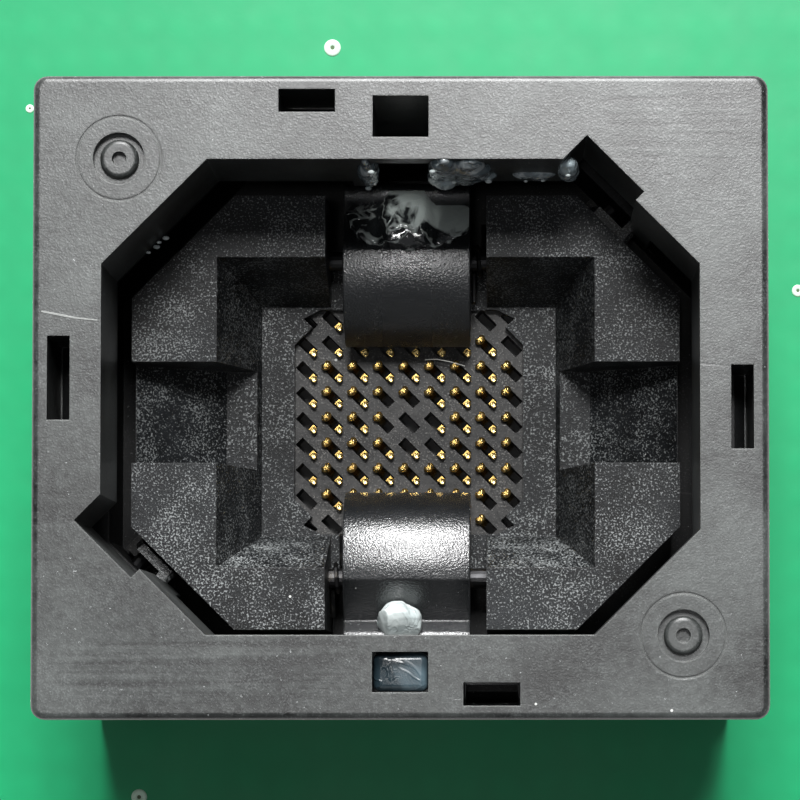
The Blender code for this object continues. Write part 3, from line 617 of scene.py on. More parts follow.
def new_group(
    name: str, inputs: dict[str, float | None], outputs: dict[str, str]
) -> tuple[Tree, dict, dict]:
    """Starts a node group.

    Args:
        name: The group's name.
        inputs: Default of each input, or None for a vector.
        outputs: Kind of each output: Float, Vector or Color.

    Returns:
        The group's tree, its input outputs by name, and its output inputs by name.
    """
    tree = bpy.data.node_groups.new(name, "ShaderNodeTree")
    for label, default in inputs.items():
        kind = "NodeSocketVector" if default is None else "NodeSocketFloat"
        socket = tree.interface.new_socket(name=label, in_out="INPUT", socket_type=kind)
        if default is not None:
            socket.default_value = default
    for label, kind in outputs.items():
        tree.interface.new_socket(name=label, in_out="OUTPUT", socket_type=f"NodeSocket{kind}")
    source, sink = tree.nodes.new("NodeGroupInput"), tree.nodes.new("NodeGroupOutput")
    return Tree(tree), {s.name: s for s in source.outputs}, {s.name: s for s in sink.inputs}


class Effects:
    """Node groups that several finishes share, each made once."""

    CURL_WIDTH: Point = (0.006, 0.03)
    CURL_PATCH: Place = (0.74, 0.22, 0.05)
    CURL_SPREAD: float = 0.83
    LINE_STRETCH: Place = (0.05, 3.0, 1.0)
    LINE_LEVEL: Place = (0.78, 0.2, 0.04)
    LINE_GAPS: Point = (0.45, 0.6)
    LYING: Point = (0.3, 0.8)
    SLOW_SHARE: float = 1.3
    FINE_SHARE: float = 0.7
    FINE_SCALE: float = 14.0
    MILLED_FADE: Point = (0.75, 1.05)
    MILLED_STRETCH: Place = (0.03, 1.0, 1.0)
    MILLED_TURN: Place = (0.0, 0.0, 0.03)
    MILLED_SWING: float = 4.0
    WORN_AND_LIT: Point = (0.01, 0.2)

    def __init__(self) -> None:
        """Builds every group."""
        self.specks = self._specks()
        self.hairlines = self._hairlines()
        self.dust = self._dust()
        self.drift = self._drift()
        self.scratch = self._scratch()
        self.milling = self._milling()
        self.relief = self._relief()

    @staticmethod
    def _specks() -> bpy.types.NodeTree:
        """Short pale curls of filler in moulded plastic.

        Returns:
            The group, with a Mask from 0 to 1.
        """
        tree, given, wanted = new_group(
            "filler_specks", {"Vector": None, "Scale": 5200.0, "Amount": 0.5}, {"Mask": "Float"}
        )
        field = tree.noise(given["Vector"], given["Scale"], 2.0, 1.6)
        ridge = tree.math("ABSOLUTE", tree.math("SUBTRACT", field, 0.5))
        curl = tree.math("SUBTRACT", 1.0, tree.rise(ridge, *Effects.CURL_WIDTH))
        spread = tree.math("MULTIPLY", given["Scale"], Effects.CURL_SPREAD)
        where = tree.noise(given["Vector"], spread, 1.0)
        level, reach, fade = Effects.CURL_PATCH
        limit = tree.math("SUBTRACT", level, tree.math("MULTIPLY", given["Amount"], reach))
        patch = tree.rise(where, limit, tree.math("ADD", limit, fade))
        tree.feed(wanted["Mask"], tree.math("MULTIPLY", curl, patch))
        return tree.tree

    @staticmethod
    def _hairlines() -> bpy.types.NodeTree:
        """Thin straight scratches that run one way and stop and start.

        Returns:
            The group, with a Mask from 0 to 1.
        """
        tree, given, wanted = new_group(
            "hairline_scratches",
            {"Vector": None, "Scale": 900.0, "Amount": 0.3, "Turn": 0.0},
            {"Mask": "Float"},
        )
        turned = {"Vector": given["Vector"], "Angle": given["Turn"]}
        spin = tree.add("VectorRotate", turned, rotation_type="Z_AXIS")
        long = tree.stretch(spin.outputs[0], Effects.LINE_STRETCH)
        lines = tree.noise(long, given["Scale"], 3.0)
        level, reach, fade = Effects.LINE_LEVEL
        limit = tree.math("SUBTRACT", level, tree.math("MULTIPLY", given["Amount"], reach))
        thin = tree.rise(lines, limit, tree.math("ADD", limit, fade))
        gaps = tree.rise(tree.noise(spin.outputs[0], 420.0, 2.0), *Effects.LINE_GAPS)
        tree.feed(wanted["Mask"], tree.math("MULTIPLY", thin, gaps))
        return tree.tree

    @staticmethod
    def _dust() -> bpy.types.NodeTree:
        """Single grains that lie on faces which look up.

        Returns:
            The group, with a Mask from 0 to 1.
        """
        tree, given, wanted = new_group(
            "settled_dust",
            {"Vector": None, "Scale": 2600.0, "Amount": 0.2, "Size": 0.11},
            {"Mask": "Float"},
        )
        cells = tree.add("TexVoronoi", {"Vector": given["Vector"], "Scale": given["Scale"]})
        grain = tree.math("LESS_THAN", cells.outputs["Distance"], given["Size"])
        pick_cell = tree.add("SeparateColor", {"Color": cells.outputs["Color"]}).outputs[0]
        chosen = tree.math("LESS_THAN", pick_cell, given["Amount"])
        lying = tree.rise(tree.facing(2), *Effects.LYING)
        tree.feed(wanted["Mask"], tree.math("MULTIPLY", tree.math("MULTIPLY", grain, chosen), lying))
        return tree.tree

    @staticmethod
    def _drift() -> bpy.types.NodeTree:
        """Slow change of tone over a surface, with a finer mottle in it.

        Returns:
            The group, with a Value about 1.
        """
        tree, given, wanted = new_group(
            "tone_drift", {"Vector": None, "Scale": 180.0, "Amount": 0.25}, {"Value": "Float"}
        )
        slow = tree.noise(given["Vector"], given["Scale"], 3.0, 0.4)
        closer = tree.math("MULTIPLY", given["Scale"], Effects.FINE_SCALE)
        fine = tree.noise(given["Vector"], closer, 3.0)
        broad = tree.math("MULTIPLY", slow, Effects.SLOW_SHARE)
        both = tree.math("ADD", broad, tree.math("MULTIPLY", fine, Effects.FINE_SHARE))
        reach = tree.math("MULTIPLY", given["Amount"], 2.0)
        swing = tree.math("MULTIPLY", tree.math("SUBTRACT", both, 1.0), reach)
        tree.feed(wanted["Value"], tree.math("ADD", 1.0, swing))
        return tree.tree

    @staticmethod
    def _scratch() -> bpy.types.NodeTree:
        """One straight scratch between two points.

        Returns:
            The group, with a Mask from 0 to 1.
        """
        tree, given, wanted = new_group(
            "single_scratch",
            {"Vector": None, "Start": None, "End": None, "Width": 0.03 * MM},
            {"Mask": "Float"},
        )
        run = tree.apart(given["End"], given["Start"])
        from_start = tree.apart(given["Vector"], given["Start"])
        share = tree.math("DIVIDE", tree.dot(from_start, run), tree.dot(run, run), clamp=True)
        foot = tree.add("VectorMath", {0: run, "Scale": share}, operation="SCALE").outputs[0]
        away = tree.apart(from_start, foot)
        wobble = tree.math("MULTIPLY", tree.noise(given["Vector"], 1500.0, 3.0), given["Width"])
        length = tree.add("VectorMath", {0: away}, operation="LENGTH").outputs["Value"]
        gap = tree.math("SUBTRACT", length, wobble)
        half = tree.math("MULTIPLY", given["Width"], 0.5)
        tree.feed(wanted["Mask"], tree.math("SUBTRACT", 1.0, tree.rise(gap, 0.0, half)))
        return tree.tree

    @staticmethod
    def _milling() -> bpy.types.NodeTree:
        """Fine parallel cutter lines within a rectangle that fades out at its edges.

        Returns:
            The group, with a Value from about -1 to 1.
        """
        tree, given, wanted = new_group(
            "milled_lines",
            {"Vector": None, "Centre": None, "Half X": 2.0 * MM, "Half Y": 1.0 * MM},
            {"Value": "Float"},
        )
        apart = tree.apart(given["Vector"], given["Centre"])
        inside: list[Socket] = []
        for axis, half in ((0, "Half X"), (1, "Half Y")):
            share = tree.math("DIVIDE", tree.math("ABSOLUTE", tree.part(apart, axis)), given[half])
            inside.append(tree.math("SUBTRACT", 1.0, tree.rise(share, *Effects.MILLED_FADE)))
        long = tree.stretch(given["Vector"], Effects.MILLED_STRETCH, Effects.MILLED_TURN)
        lines = tree.noise(long, 5200.0, 3.0)
        swing = tree.math("MULTIPLY", tree.math("SUBTRACT", lines, 0.5), Effects.MILLED_SWING)
        tree.feed(wanted["Value"], tree.math("MULTIPLY", swing, tree.math("MULTIPLY", *inside)))
        return tree.tree

    @staticmethod
    def _relief() -> bpy.types.NodeTree:
        """Moulded relief on softly rounded edges, and a mask of the rounded edges for their wear and a
        painted highlight.

        Returns:
            The group, with a Normal and a mask of edge wear and painted highlight.
        """
        tree, given, wanted = new_group(
            "edge_relief",
            {"Height": 0.5, "Depth": 0.01 * MM, "Radius": 0.05 * MM},
            {"Normal": "Vector", "Wear and highlight": "Float"},
        )
        rounded = tree.add("Bevel", {"Radius": given["Radius"]}, samples=2).outputs[0]
        bump = tree.add("Bump", {"Height": given["Height"], "Distance": given["Depth"], "Normal": rounded})
        cosine = tree.dot(rounded, tree.add("NewGeometry").outputs["Normal"])
        tree.feed(wanted["Wear and highlight"], tree.rise(tree.math("SUBTRACT", 1.0, cosine), *Effects.WORN_AND_LIT))
        tree.feed(wanted["Normal"], bump.outputs[0])
        return tree.tree


@dataclass(frozen=True)
class Finish:
    """A Principled material with a colour, a roughness and a relief that its pattern shapes."""

    name: str
    colour: Colour
    roughness: float
    metallic: float = 0.0
    specular: float = 0.5
    coat: float = 0.0
    radius: float = 0.05

    def start(self) -> tuple[bpy.types.Material, Tree, bpy.types.Node, Socket]:
        """Makes the material with its plain values.

        Returns:
            The material, its tree, its shader and the Object coordinates.
        """
        material = bpy.data.materials.new(self.name)
        material.use_nodes = True
        tree = Tree(material.node_tree)
        shader = material.node_tree.nodes["Principled BSDF"]
        shader.inputs["Base Color"].default_value = (*self.colour, 1.0)
        shader.inputs["Roughness"].default_value = self.roughness
        shader.inputs["Metallic"].default_value = self.metallic
        shader.inputs["Specular IOR Level"].default_value = self.specular
        shader.inputs["Coat Weight"].default_value = self.coat
        shader.inputs["Coat Roughness"].default_value = 0.12
        return material, tree, shader, tree.add("TexCoord").outputs["Object"]

    def colour_times(self, tree: Tree, value: Socket, colour: object = None) -> Socket:
        """The finish's colour, made lighter and darker by a value.

        Args:
            tree: The material's tree.
            value: The factor.
            colour: Another colour than the finish's own.

        Returns:
            The colour output.
        """
        node = tree.add("VectorMath", {1: value}, operation="MULTIPLY")
        tree.feed(node.inputs[0], self.colour if colour is None else colour)
        return node.outputs[0]


@dataclass(frozen=True)
class MouldedPlastic(Finish):
    """Black filled plastic: tone drift, filler specks, hairlines, dust, worn edges that carry a painted
    highlight, pale grains that paint glints and are painted lighter on faces that lean north, and a fine
    grain.
    """

    speck_colour: Colour = (0.42, 0.44, 0.44)
    speck_scale: float = 9000.0
    speck_amount: float = 0.2
    grit_scale: float = 17000.0
    # Pale filler grains: the filler's own colour, and also painted glints of the grains
    grit_glint_colour: Colour = (0.36, 0.38, 0.38)
    grit_share: float = 0.2
    grit_glint_strength: float = 0.3
    gloss: float = 0.26
    line_amount: float = 0.25
    line_turn: float = 0.1
    dust_amount: float = 0.02
    grain: float = 0.006
    edge_wear_and_highlight: float = 0.5
    edge_wear_and_highlight_colour: Colour = (0.13, 0.13, 0.13)
    drift: float = 0.5
    drift_scale: float = 220.0
    seam_x: float | None = None
    polish: float = 0.0
    north_light_on_grit: float = 0.0
    scratches: tuple[tuple[Point, Point, float], ...] = ()
    milled: tuple[tuple[Point, Point], ...] = ()
    milled_share: float = 0.9
    lowest_tone: float = 0.15
    patch_scale: float = 900.0
    patch_swing: float = 0.3
    grit_level: Point = (0.66, 0.3)
    grit_fade: Point = (0.04, 0.14)
    north_lean: Point = (0.6, 0.9)
    speck_height: float = 0.5
    dust_height: float = 1.2
    tone_height: float = 0.2
    line_depth: float = 0.8
    mark_height: float = 2.5
    line_cover: float = 0.3
    mark_cover: float = 0.6
    speck_cover: float = 0.8
    dust_cover: float = 0.85
    seam_width: Point = (0.012, 0.03)
    seam_share: float = 0.7
    wear_shine: float = 0.06
    rubbed: Point = (0.2, 1.9)

    def add_marks(self, tree: Tree, effects: Effects, point: Socket, tone: Socket) -> tuple[Socket, Socket]:
        """Adds the cutter lines and the single scratches, which lie on the top face.

        Args:
            tree: The material's tree.
            effects: The shared node groups.
            point: The Object coordinates.
            tone: The tone's factor, which the cutter lines swing.

        Returns:
            The new tone and the mask of the scratches.
        """
        for (x, y), (half_x, half_y) in self.milled:
            field = tree.group(
                effects.milling, Vector=point, Centre=(x * MM, y * MM, COVER_TOP * MM),
                Half_X=half_x * MM, Half_Y=half_y * MM,
            )
            tone = tree.math("ADD", tone, tree.math("MULTIPLY", field.outputs[0], self.milled_share))
        mask: object = 0.0
        for (x0, y0), (x1, y1), width in self.scratches:
            line = tree.group(
                effects.scratch, Vector=point, Start=(x0 * MM, y0 * MM, COVER_TOP * MM),
                End=(x1 * MM, y1 * MM, COVER_TOP * MM), Width=width * MM,
            )
            mask = tree.math("MAXIMUM", line.outputs[0], mask)
        return tree.math("MAXIMUM", tone, self.lowest_tone), tree.math("MAXIMUM", mask, 0.0)

    def build(self, effects: Effects) -> bpy.types.Material:
        """Makes the material.

        Args:
            effects: The shared node groups.

        Returns:
            The material.
        """
        material, tree, shader, point = self.start()
        tone = tree.group(effects.drift, Vector=point, Scale=self.drift_scale, Amount=self.drift).outputs[0]
        tone, marks = self.add_marks(tree, effects, point, tone)
        specks = tree.group(effects.specks, Vector=point, Scale=self.speck_scale, Amount=self.speck_amount)
        lines = tree.group(effects.hairlines, Vector=point, Amount=self.line_amount, Turn=self.line_turn)
        dust = tree.group(effects.dust, Vector=point, Amount=self.dust_amount)
        facet = tree.noise(point, self.grit_scale, 2.0, 0.3)
        cloud = tree.math("SUBTRACT", tree.noise(point, self.patch_scale, 3.0), 0.5)
        patch = tree.math("MULTIPLY", cloud, self.patch_swing)
        (level, reach), (below, above) = self.grit_level, self.grit_fade
        limit = tree.math("SUBTRACT", level - reach * self.grit_share, patch)
        grit = tree.rise(facet, tree.math("SUBTRACT", limit, below), tree.math("ADD", limit, above))
        # Faces that lean north get more pale grains: painted light from the north
        leaning_north = tree.rise(tree.facing(1), *self.north_lean)
        grit_light = tree.math("ADD", self.grit_glint_strength, tree.math("MULTIPLY", leaning_north, self.north_light_on_grit))
        height = facet
        for kind, layer, share in (
            ("ADD", specks.outputs[0], self.speck_height),
            ("ADD", dust.outputs[0], self.dust_height),
            ("ADD", tone, self.tone_height),
            ("SUBTRACT", lines.outputs[0], self.line_depth),
            ("ADD", marks, self.mark_height),
        ):
            height = tree.math(kind, height, tree.math("MULTIPLY", layer, share))
        relief = tree.group(effects.relief, Height=height, Depth=self.grain * MM, Radius=self.radius * MM)
        colour = self.colour_times(tree, tone)
        # Pale grains painted over the plastic: partly the filler itself, partly painted glints
        colour = tree.blend(tree.math("MULTIPLY", grit, grit_light), colour, self.grit_glint_colour)
        # Rounded edges painted lighter: wear, and a painted highlight along them
        layers = (
            (relief.outputs["Wear and highlight"], self.edge_wear_and_highlight, self.edge_wear_and_highlight_colour),
            (lines.outputs[0], self.line_cover, LINE_COLOUR),
            (marks, self.mark_cover, SCRATCH_COLOUR),
            (specks.outputs[0], self.speck_cover, self.speck_colour),
            (dust.outputs[0], self.dust_cover, DUST_COLOUR),
        )
        for mask, strength, layer_colour in layers:
            colour = tree.blend(tree.math("MULTIPLY", mask, strength), colour, layer_colour)
        if self.seam_x is not None:
            offset = tree.math("ABSOLUTE", tree.math("SUBTRACT", tree.part(point, 0), self.seam_x * MM))
            narrow, wide = [width * MM for width in self.seam_width]
            seam = tree.math("SUBTRACT", 1.0, tree.rise(offset, narrow, wide))
            colour = tree.blend(tree.math("MULTIPLY", seam, self.seam_share), colour, SEAM_COLOUR)
        shine = tree.math("ADD", self.roughness, tree.math("MULTIPLY", grit, self.gloss - self.roughness))
        worn = tree.math("MULTIPLY", relief.outputs["Wear and highlight"], self.wear_shine)
        shine = tree.math("SUBTRACT", shine, worn)
        if self.polish:
            away = tree.math("ABSOLUTE", tree.part(point, 0))
            middle, edge = [x * MM for x in self.rubbed]
            rubbed = tree.math("SUBTRACT", 1.0, tree.rise(away, middle, edge))
            shine = tree.math("SUBTRACT", shine, tree.math("MULTIPLY", rubbed, self.polish))
        tree.feed(shader.inputs["Base Color"], colour)
        tree.feed(shader.inputs["Roughness"], shine)
        tree.feed(shader.inputs["Normal"], relief.outputs["Normal"])
        return material


@dataclass(frozen=True)
class SolderMask(Finish):
    """Glossy green mask with slow tone drift, a faint weave below and grains of dust."""

    edge_colour: Colour = (0.36, 0.33, 0.16)
    grain_colour: Colour = (0.6, 0.7, 0.55)
    grain_cover: float = 0.3
    yarn_scale: float = 260.0
    cloth_tone: float = 0.05
    cloth_height: float = 0.4
    ripple_height: float = 0.6
    side_from: Point = (0.3, 0.6)
    depth: float = 0.004
    dullness: float = 0.1

    def build(self, effects: Effects) -> bpy.types.Material:
        """Makes the material.

        Args:
            effects: The shared node groups.

        Returns:
            The material.
        """
        material, tree, shader, point = self.start()
        tone = tree.group(effects.drift, Vector=point, Scale=70.0, Amount=0.1).outputs[0]
        yarn = {"Vector": point, "Scale": self.yarn_scale, "Distortion": 1.0, "Detail": 2.0}
        threads = [tree.add("TexWave", yarn, bands_direction=way).outputs["Fac"] for way in ("X", "Y")]
        cloth = tree.math("MULTIPLY", *threads)
        grit = tree.group(effects.dust, Vector=point, Scale=900.0, Amount=0.05, Size=0.07).outputs[0]
        woven = tree.math("MULTIPLY", cloth, self.cloth_tone)
        colour = self.colour_times(tree, tree.math("ADD", tone, woven))
        upright = tree.math("ABSOLUTE", tree.facing(2))
        edge = tree.math("SUBTRACT", 1.0, tree.rise(upright, *self.side_from))
        colour = tree.blend(edge, colour, self.edge_colour)
        colour = tree.blend(tree.math("MULTIPLY", grit, self.grain_cover), colour, self.grain_colour)
        ripple = tree.math("MULTIPLY", tree.noise(point, 1600.0), self.ripple_height)
        height = tree.math("ADD", tree.math("MULTIPLY", cloth, self.cloth_height), ripple)
        relief = tree.group(effects.relief, Height=height, Depth=self.depth * MM, Radius=self.radius * MM)
        dull = tree.math("MULTIPLY", tree.noise(point, 500.0, 3.0), self.dullness)
        shine = tree.math("ADD", self.roughness, dull)
        tree.feed(shader.inputs["Base Color"], colour)
        tree.feed(shader.inputs["Roughness"], shine)
        tree.feed(shader.inputs["Normal"], relief.outputs["Normal"])
        return material


@dataclass(frozen=True)
class DrawnMetal(Finish):
    """Plated or drawn metal with fine draw lines, tarnish and a soft grain."""

    tarnish: Colour = (0.25, 0.22, 0.18)
    tarnish_amount: float = 0.35
    tarnish_from: Point = (0.5, 0.75)
    tarnish_shine: float = 0.2
    draw_stretch: Place = (1.0, 1.0, 0.06)
    depth: float = 0.002

    def build(self, effects: Effects) -> bpy.types.Material:
        """Makes the material.

        Args:
            effects: The shared node groups.

        Returns:
            The material.
        """
        material, tree, shader, point = self.start()
        tone = tree.group(effects.drift, Vector=point, Scale=900.0, Amount=0.18).outputs[0]
        stain = tree.rise(tree.noise(point, 2600.0, 3.0, 0.6), *self.tarnish_from)
        lines = tree.noise(tree.stretch(point, self.draw_stretch), 7000.0, 2.0)
        colour = tree.blend(
            tree.math("MULTIPLY", stain, self.tarnish_amount), self.colour_times(tree, tone), self.tarnish
        )
        relief = tree.group(effects.relief, Height=lines, Depth=self.depth * MM, Radius=self.radius * MM)
        shine = tree.math("ADD", self.roughness, tree.math("MULTIPLY", stain, self.tarnish_shine))
        tree.feed(shader.inputs["Base Color"], colour)
        tree.feed(shader.inputs["Roughness"], shine)
        tree.feed(shader.inputs["Normal"], relief.outputs["Normal"])
        return material


@dataclass(frozen=True)
class PlasticAndPins(Finish):
    """One node of plastic and metal: metal below a lower level and above an upper one."""

    metal: Colour = (0.83, 0.62, 0.24)
    metal_roughness: float = 0.24
    speck_colour: Colour = (0.3, 0.3, 0.3)
    plastic_from: float = 6.0
    plastic_to: float = 8.56
    slack: float = 0.004
    speck_cover: float = 0.4
    depth: float = 0.004

    def build(self, effects: Effects) -> bpy.types.Material:
        """Makes the material.

        Args:
            effects: The shared node groups.

        Returns:
            The material.
        """
        material, tree, shader, point = self.start()
        z = tree.part(point, 2)
        below = tree.math("LESS_THAN", z, (self.plastic_from - self.slack) * MM)
        above = tree.math("GREATER_THAN", z, (self.plastic_to + self.slack) * MM)
        metal = tree.math("MAXIMUM", below, above)
        tone = tree.group(effects.drift, Vector=point, Scale=500.0, Amount=0.2).outputs[0]
        specks = tree.group(effects.specks, Vector=point, Amount=0.2).outputs[0]
        grain = tree.noise(point, 6000.0, 3.0)
        dark = self.colour_times(tree, tone)
        plastic = tree.blend(tree.math("MULTIPLY", specks, self.speck_cover), dark, self.speck_colour)
        plating = self.colour_times(tree, tone, self.metal)
        relief = tree.group(effects.relief, Height=grain, Depth=self.depth * MM, Radius=self.radius * MM)
        shares = {0: metal, 2: self.roughness, 3: self.metal_roughness}
        shine = tree.add("Mix", shares, data_type="FLOAT").outputs[0]
        tree.feed(shader.inputs["Base Color"], tree.blend(metal, plastic, plating))
        tree.feed(shader.inputs["Metallic"], metal)
        tree.feed(shader.inputs["Roughness"], shine)
        tree.feed(shader.inputs["Normal"], relief.outputs["Normal"])
        return material


@dataclass(frozen=True)
class DriedGlue(Finish):
    """Cloudy clear glue: dark where it is thin over black plastic, milky and veined where it is thick, with
    near-white veins as painted highlights on the wall films.
    """

    milk: Colour = (0.42, 0.47, 0.48)
    milk_from: float = 0.42
    milk_to: float = 0.7
    vein_and_glint: Colour = (0.6, 0.64, 0.64)
    vein_amount: float = 0.7
    scale: float = 900.0
    milk_lean: Point = (0.0, 0.0)
    milk_centre: Point = (0.0, 0.0)
    milk_shine: float = 0.12
    net_scale: float = 2.2
    vein_width: float = 0.06
    vein_fade: float = 0.8
    vein_height: float = 0.25
    relief: float = 0.06

    def build(self, effects: Effects) -> bpy.types.Material:
        """Makes the material.

        Args:
            effects: The shared node groups.

        Returns:
            The material.
        """
        material, tree, shader, point = self.start()
        cloud = tree.noise(point, self.scale, 4.0, 0.8)
        level = cloud
        for axis, (centre, lean) in enumerate(zip(self.milk_centre, self.milk_lean)):
            apart = tree.math("SUBTRACT", tree.part(point, axis), centre * MM)
            level = tree.math("ADD", level, tree.math("MULTIPLY", apart, lean / MM))
        milk = tree.rise(level, self.milk_from, self.milk_to)
        net = tree.noise(point, self.scale * self.net_scale, 2.0, 0.6)
        ridge = tree.math("ABSOLUTE", tree.math("SUBTRACT", net, 0.5))
        vein_and_glint = tree.math("SUBTRACT", 1.0, tree.rise(ridge, 0.0, self.vein_width))
        clear = tree.math("SUBTRACT", 1.0, tree.math("MULTIPLY", milk, self.vein_fade))
        vein_and_glint = tree.math("MULTIPLY", vein_and_glint, clear)
        colour = tree.blend(milk, self.colour, self.milk)
        # Veins of the glue; on the wall films their near-white colour is a painted highlight
        colour = tree.blend(tree.math("MULTIPLY", vein_and_glint, self.vein_amount), colour, self.vein_and_glint)
        height = tree.math("ADD", cloud, tree.math("MULTIPLY", vein_and_glint, self.vein_height))
        bump = tree.add("Bump", {"Height": height, "Distance": self.relief * MM})
        shine = tree.math("ADD", self.roughness, tree.math("MULTIPLY", milk, self.milk_shine))
        tree.feed(shader.inputs["Base Color"], colour)
        tree.feed(shader.inputs["Roughness"], shine)
        tree.feed(shader.inputs["Normal"], bump.outputs[0])
        return material


class Finishes:
    """Every finish of the adapter, made once."""

    def __init__(self) -> None:
        """Builds the shared effects and the finishes."""
        effects = Effects()
        # The cover's lighter rounded rim is edge wear and a painted highlight of the rim
        self.cover = MouldedPlastic(
            "cover_plastic", (0.024, 0.0265, 0.0255), 0.345, specular=0.56, speck_amount=0.1,
            line_amount=0.2, edge_wear_and_highlight=0.7, edge_wear_and_highlight_colour=(0.24, 0.25, 0.24), dust_amount=0.015, grain=0.004,
            drift=1.6, drift_scale=300.0, gloss=0.3, grit_share=0.35, grit_glint_strength=0.1, radius=0.06,
            scratches=(((-10.21, 2.42), (-9.3, 2.24), 0.035), ((-9.3, 2.24), (-8.64, 2.17), 0.03)),
            milled=(((7.9, 7.75), (2.3, 1.1)), ((-5.5, -7.8), (4.6, 0.95))),
        ).build(effects)
        self.base = MouldedPlastic(
            "base_plastic", (0.009, 0.0095, 0.01), 0.55, specular=0.25, speck_amount=0.1,
            grain=0.003, gloss=0.4, radius=0.08, grit_glint_strength=0.05,
        ).build(effects)
        # On the nest, faces that lean north are painted lighter as if lit from the north, and its pale
        # grains paint glints
        self.nest = MouldedPlastic(
            "nest_plastic", (0.009, 0.010, 0.011), 0.45, specular=0.17, speck_amount=0.35,
            line_amount=0.1, dust_amount=0.03, grain=0.01, drift=1.4, gloss=0.18, grit_share=0.3,
            grit_glint_strength=0.58, north_light_on_grit=0.9,
        ).build(effects)
        self.latch_north = MouldedPlastic(
            "north_latch_plastic", (0.005, 0.006, 0.007), 0.37, specular=1.0, speck_amount=0.05,
            line_amount=0.1, grain=0.02, gloss=0.2, seam_x=0.85, grit_glint_strength=0.02, dust_amount=0.02,
            drift=0.6, polish=0.13,
        ).build(effects)
        self.latch_south = MouldedPlastic(
            "south_latch_plastic", (0.007, 0.008, 0.009), 0.26, specular=1.0, speck_amount=0.05,
            line_amount=0.1, grain=0.016, gloss=0.18, seam_x=-0.97, grit_glint_strength=0.03, dust_amount=0.05,
            drift=0.6,
        ).build(effects)
        self.slider = MouldedPlastic(
            "slider_plastic", (0.016, 0.0155, 0.015), 0.5, specular=0.35, speck_amount=0.35,
            line_amount=0.1, dust_amount=0.06, speck_colour=(0.3, 0.28, 0.27), radius=0.03,
            grain=0.006, gloss=0.25, grit_share=0.2, grit_glint_strength=0.4, grit_glint_colour=(0.24, 0.23, 0.21),
            drift=2.8, drift_scale=420.0,
        ).build(effects)
        self.lever = MouldedPlastic(
            "lever_plastic", (0.02, 0.021, 0.021), 0.36, speck_amount=0.5, grain=0.01, gloss=0.18,
            grit_share=0.5, grit_glint_strength=0.5,
        ).build(effects)
        self.board = SolderMask(
            "green_solder_mask", (0.005, 0.262, 0.1), 0.32, specular=0.18
        ).build(effects)
        self.header = PlasticAndPins("header_plastic_and_pins", (0.016, 0.016, 0.017), 0.45).build(effects)
        self.block = PlasticAndPins(
            "contact_block_and_arms", (0.02, 0.02, 0.02), 0.5, plastic_from=11.2, plastic_to=15.66,
            radius=0.02, metal=(0.62, 0.42, 0.13),
        ).build(effects)
        self.gold = DrawnMetal(
            "gold_plating", (0.93, 0.68, 0.27), 0.26, 1.0, tarnish=(0.42, 0.2, 0.05), radius=0.01
        ).build(effects)
        self.steel = DrawnMetal(
            "spring_steel_wire", (0.55, 0.55, 0.53), 0.3, 1.0, radius=0.02
        ).build(effects)
        # Steel of the pins and latch springs, darkened to paint the shade that they sit in
        self.pin = DrawnMetal(
            "pin_steel_darkened_as_shade", (0.05, 0.05, 0.052), 0.45, 1.0, radius=0.02
        ).build(effects)
        self.tin = DrawnMetal(
            "solder_tin", (0.66, 0.67, 0.66), 0.24, 1.0, tarnish=(0.4, 0.4, 0.38), radius=0.02
        ).build(effects)
        self.ring = DrawnMetal(
            "masked_via_ring", (0.55, 0.74, 0.58), 0.3, 0.0, tarnish=(0.2, 0.42, 0.22), radius=0.01
        ).build(effects)
        # A dark disc stands in for each via's hole: painted shade
        self.hole_shade = DrawnMetal("via_hole_shade", (0.05, 0.09, 0.03), 0.6, 0.0, radius=0.005).build(effects)
        self.glue_north = DriedGlue(
            "glue_over_north_latch", (0.012, 0.014, 0.015), 0.07, specular=0.9, coat=0.8,
            scale=700.0, milk=(0.42, 0.47, 0.45), milk_lean=(0.05, 0.28), milk_centre=(0.2, 5.95),
            milk_from=0.5, milk_to=0.62, vein_and_glint=(0.6, 0.66, 0.63), vein_amount=0.5, relief=0.12,
        ).build(effects)
        self.glue_south = DriedGlue(
            "glue_over_south_latch", (0.33, 0.38, 0.38), 0.14, specular=0.7, coat=0.4,
            milk=(0.62, 0.68, 0.67), milk_from=0.35, milk_to=0.6, vein_amount=0.1, scale=900.0,
        ).build(effects)
        self.glue_window = DriedGlue(
            "glue_in_window", (0.010, 0.018, 0.023), 0.2, specular=0.4, coat=0.08, vein_amount=0.0,
            milk=(0.07, 0.105, 0.125), milk_from=0.48, milk_to=0.72, scale=520.0, relief=0.05,
        ).build(effects)
        # The wall films' near-white veins are painted highlights
        self.glue_wall = DriedGlue(
            "glue_on_cover_wall", (0.14, 0.18, 0.2), 0.06, specular=1.0, coat=1.0,
            milk=(0.55, 0.66, 0.7), milk_from=0.44, milk_to=0.62, scale=700.0, vein_and_glint=(0.9, 0.95, 0.95),
            vein_amount=0.4, relief=0.03,
        ).build(effects)
        self.fibre = DrawnMetal("dust_fibre", (0.6, 0.6, 0.56), 0.6, 0.0, radius=0.005).build(effects)


# The pieces


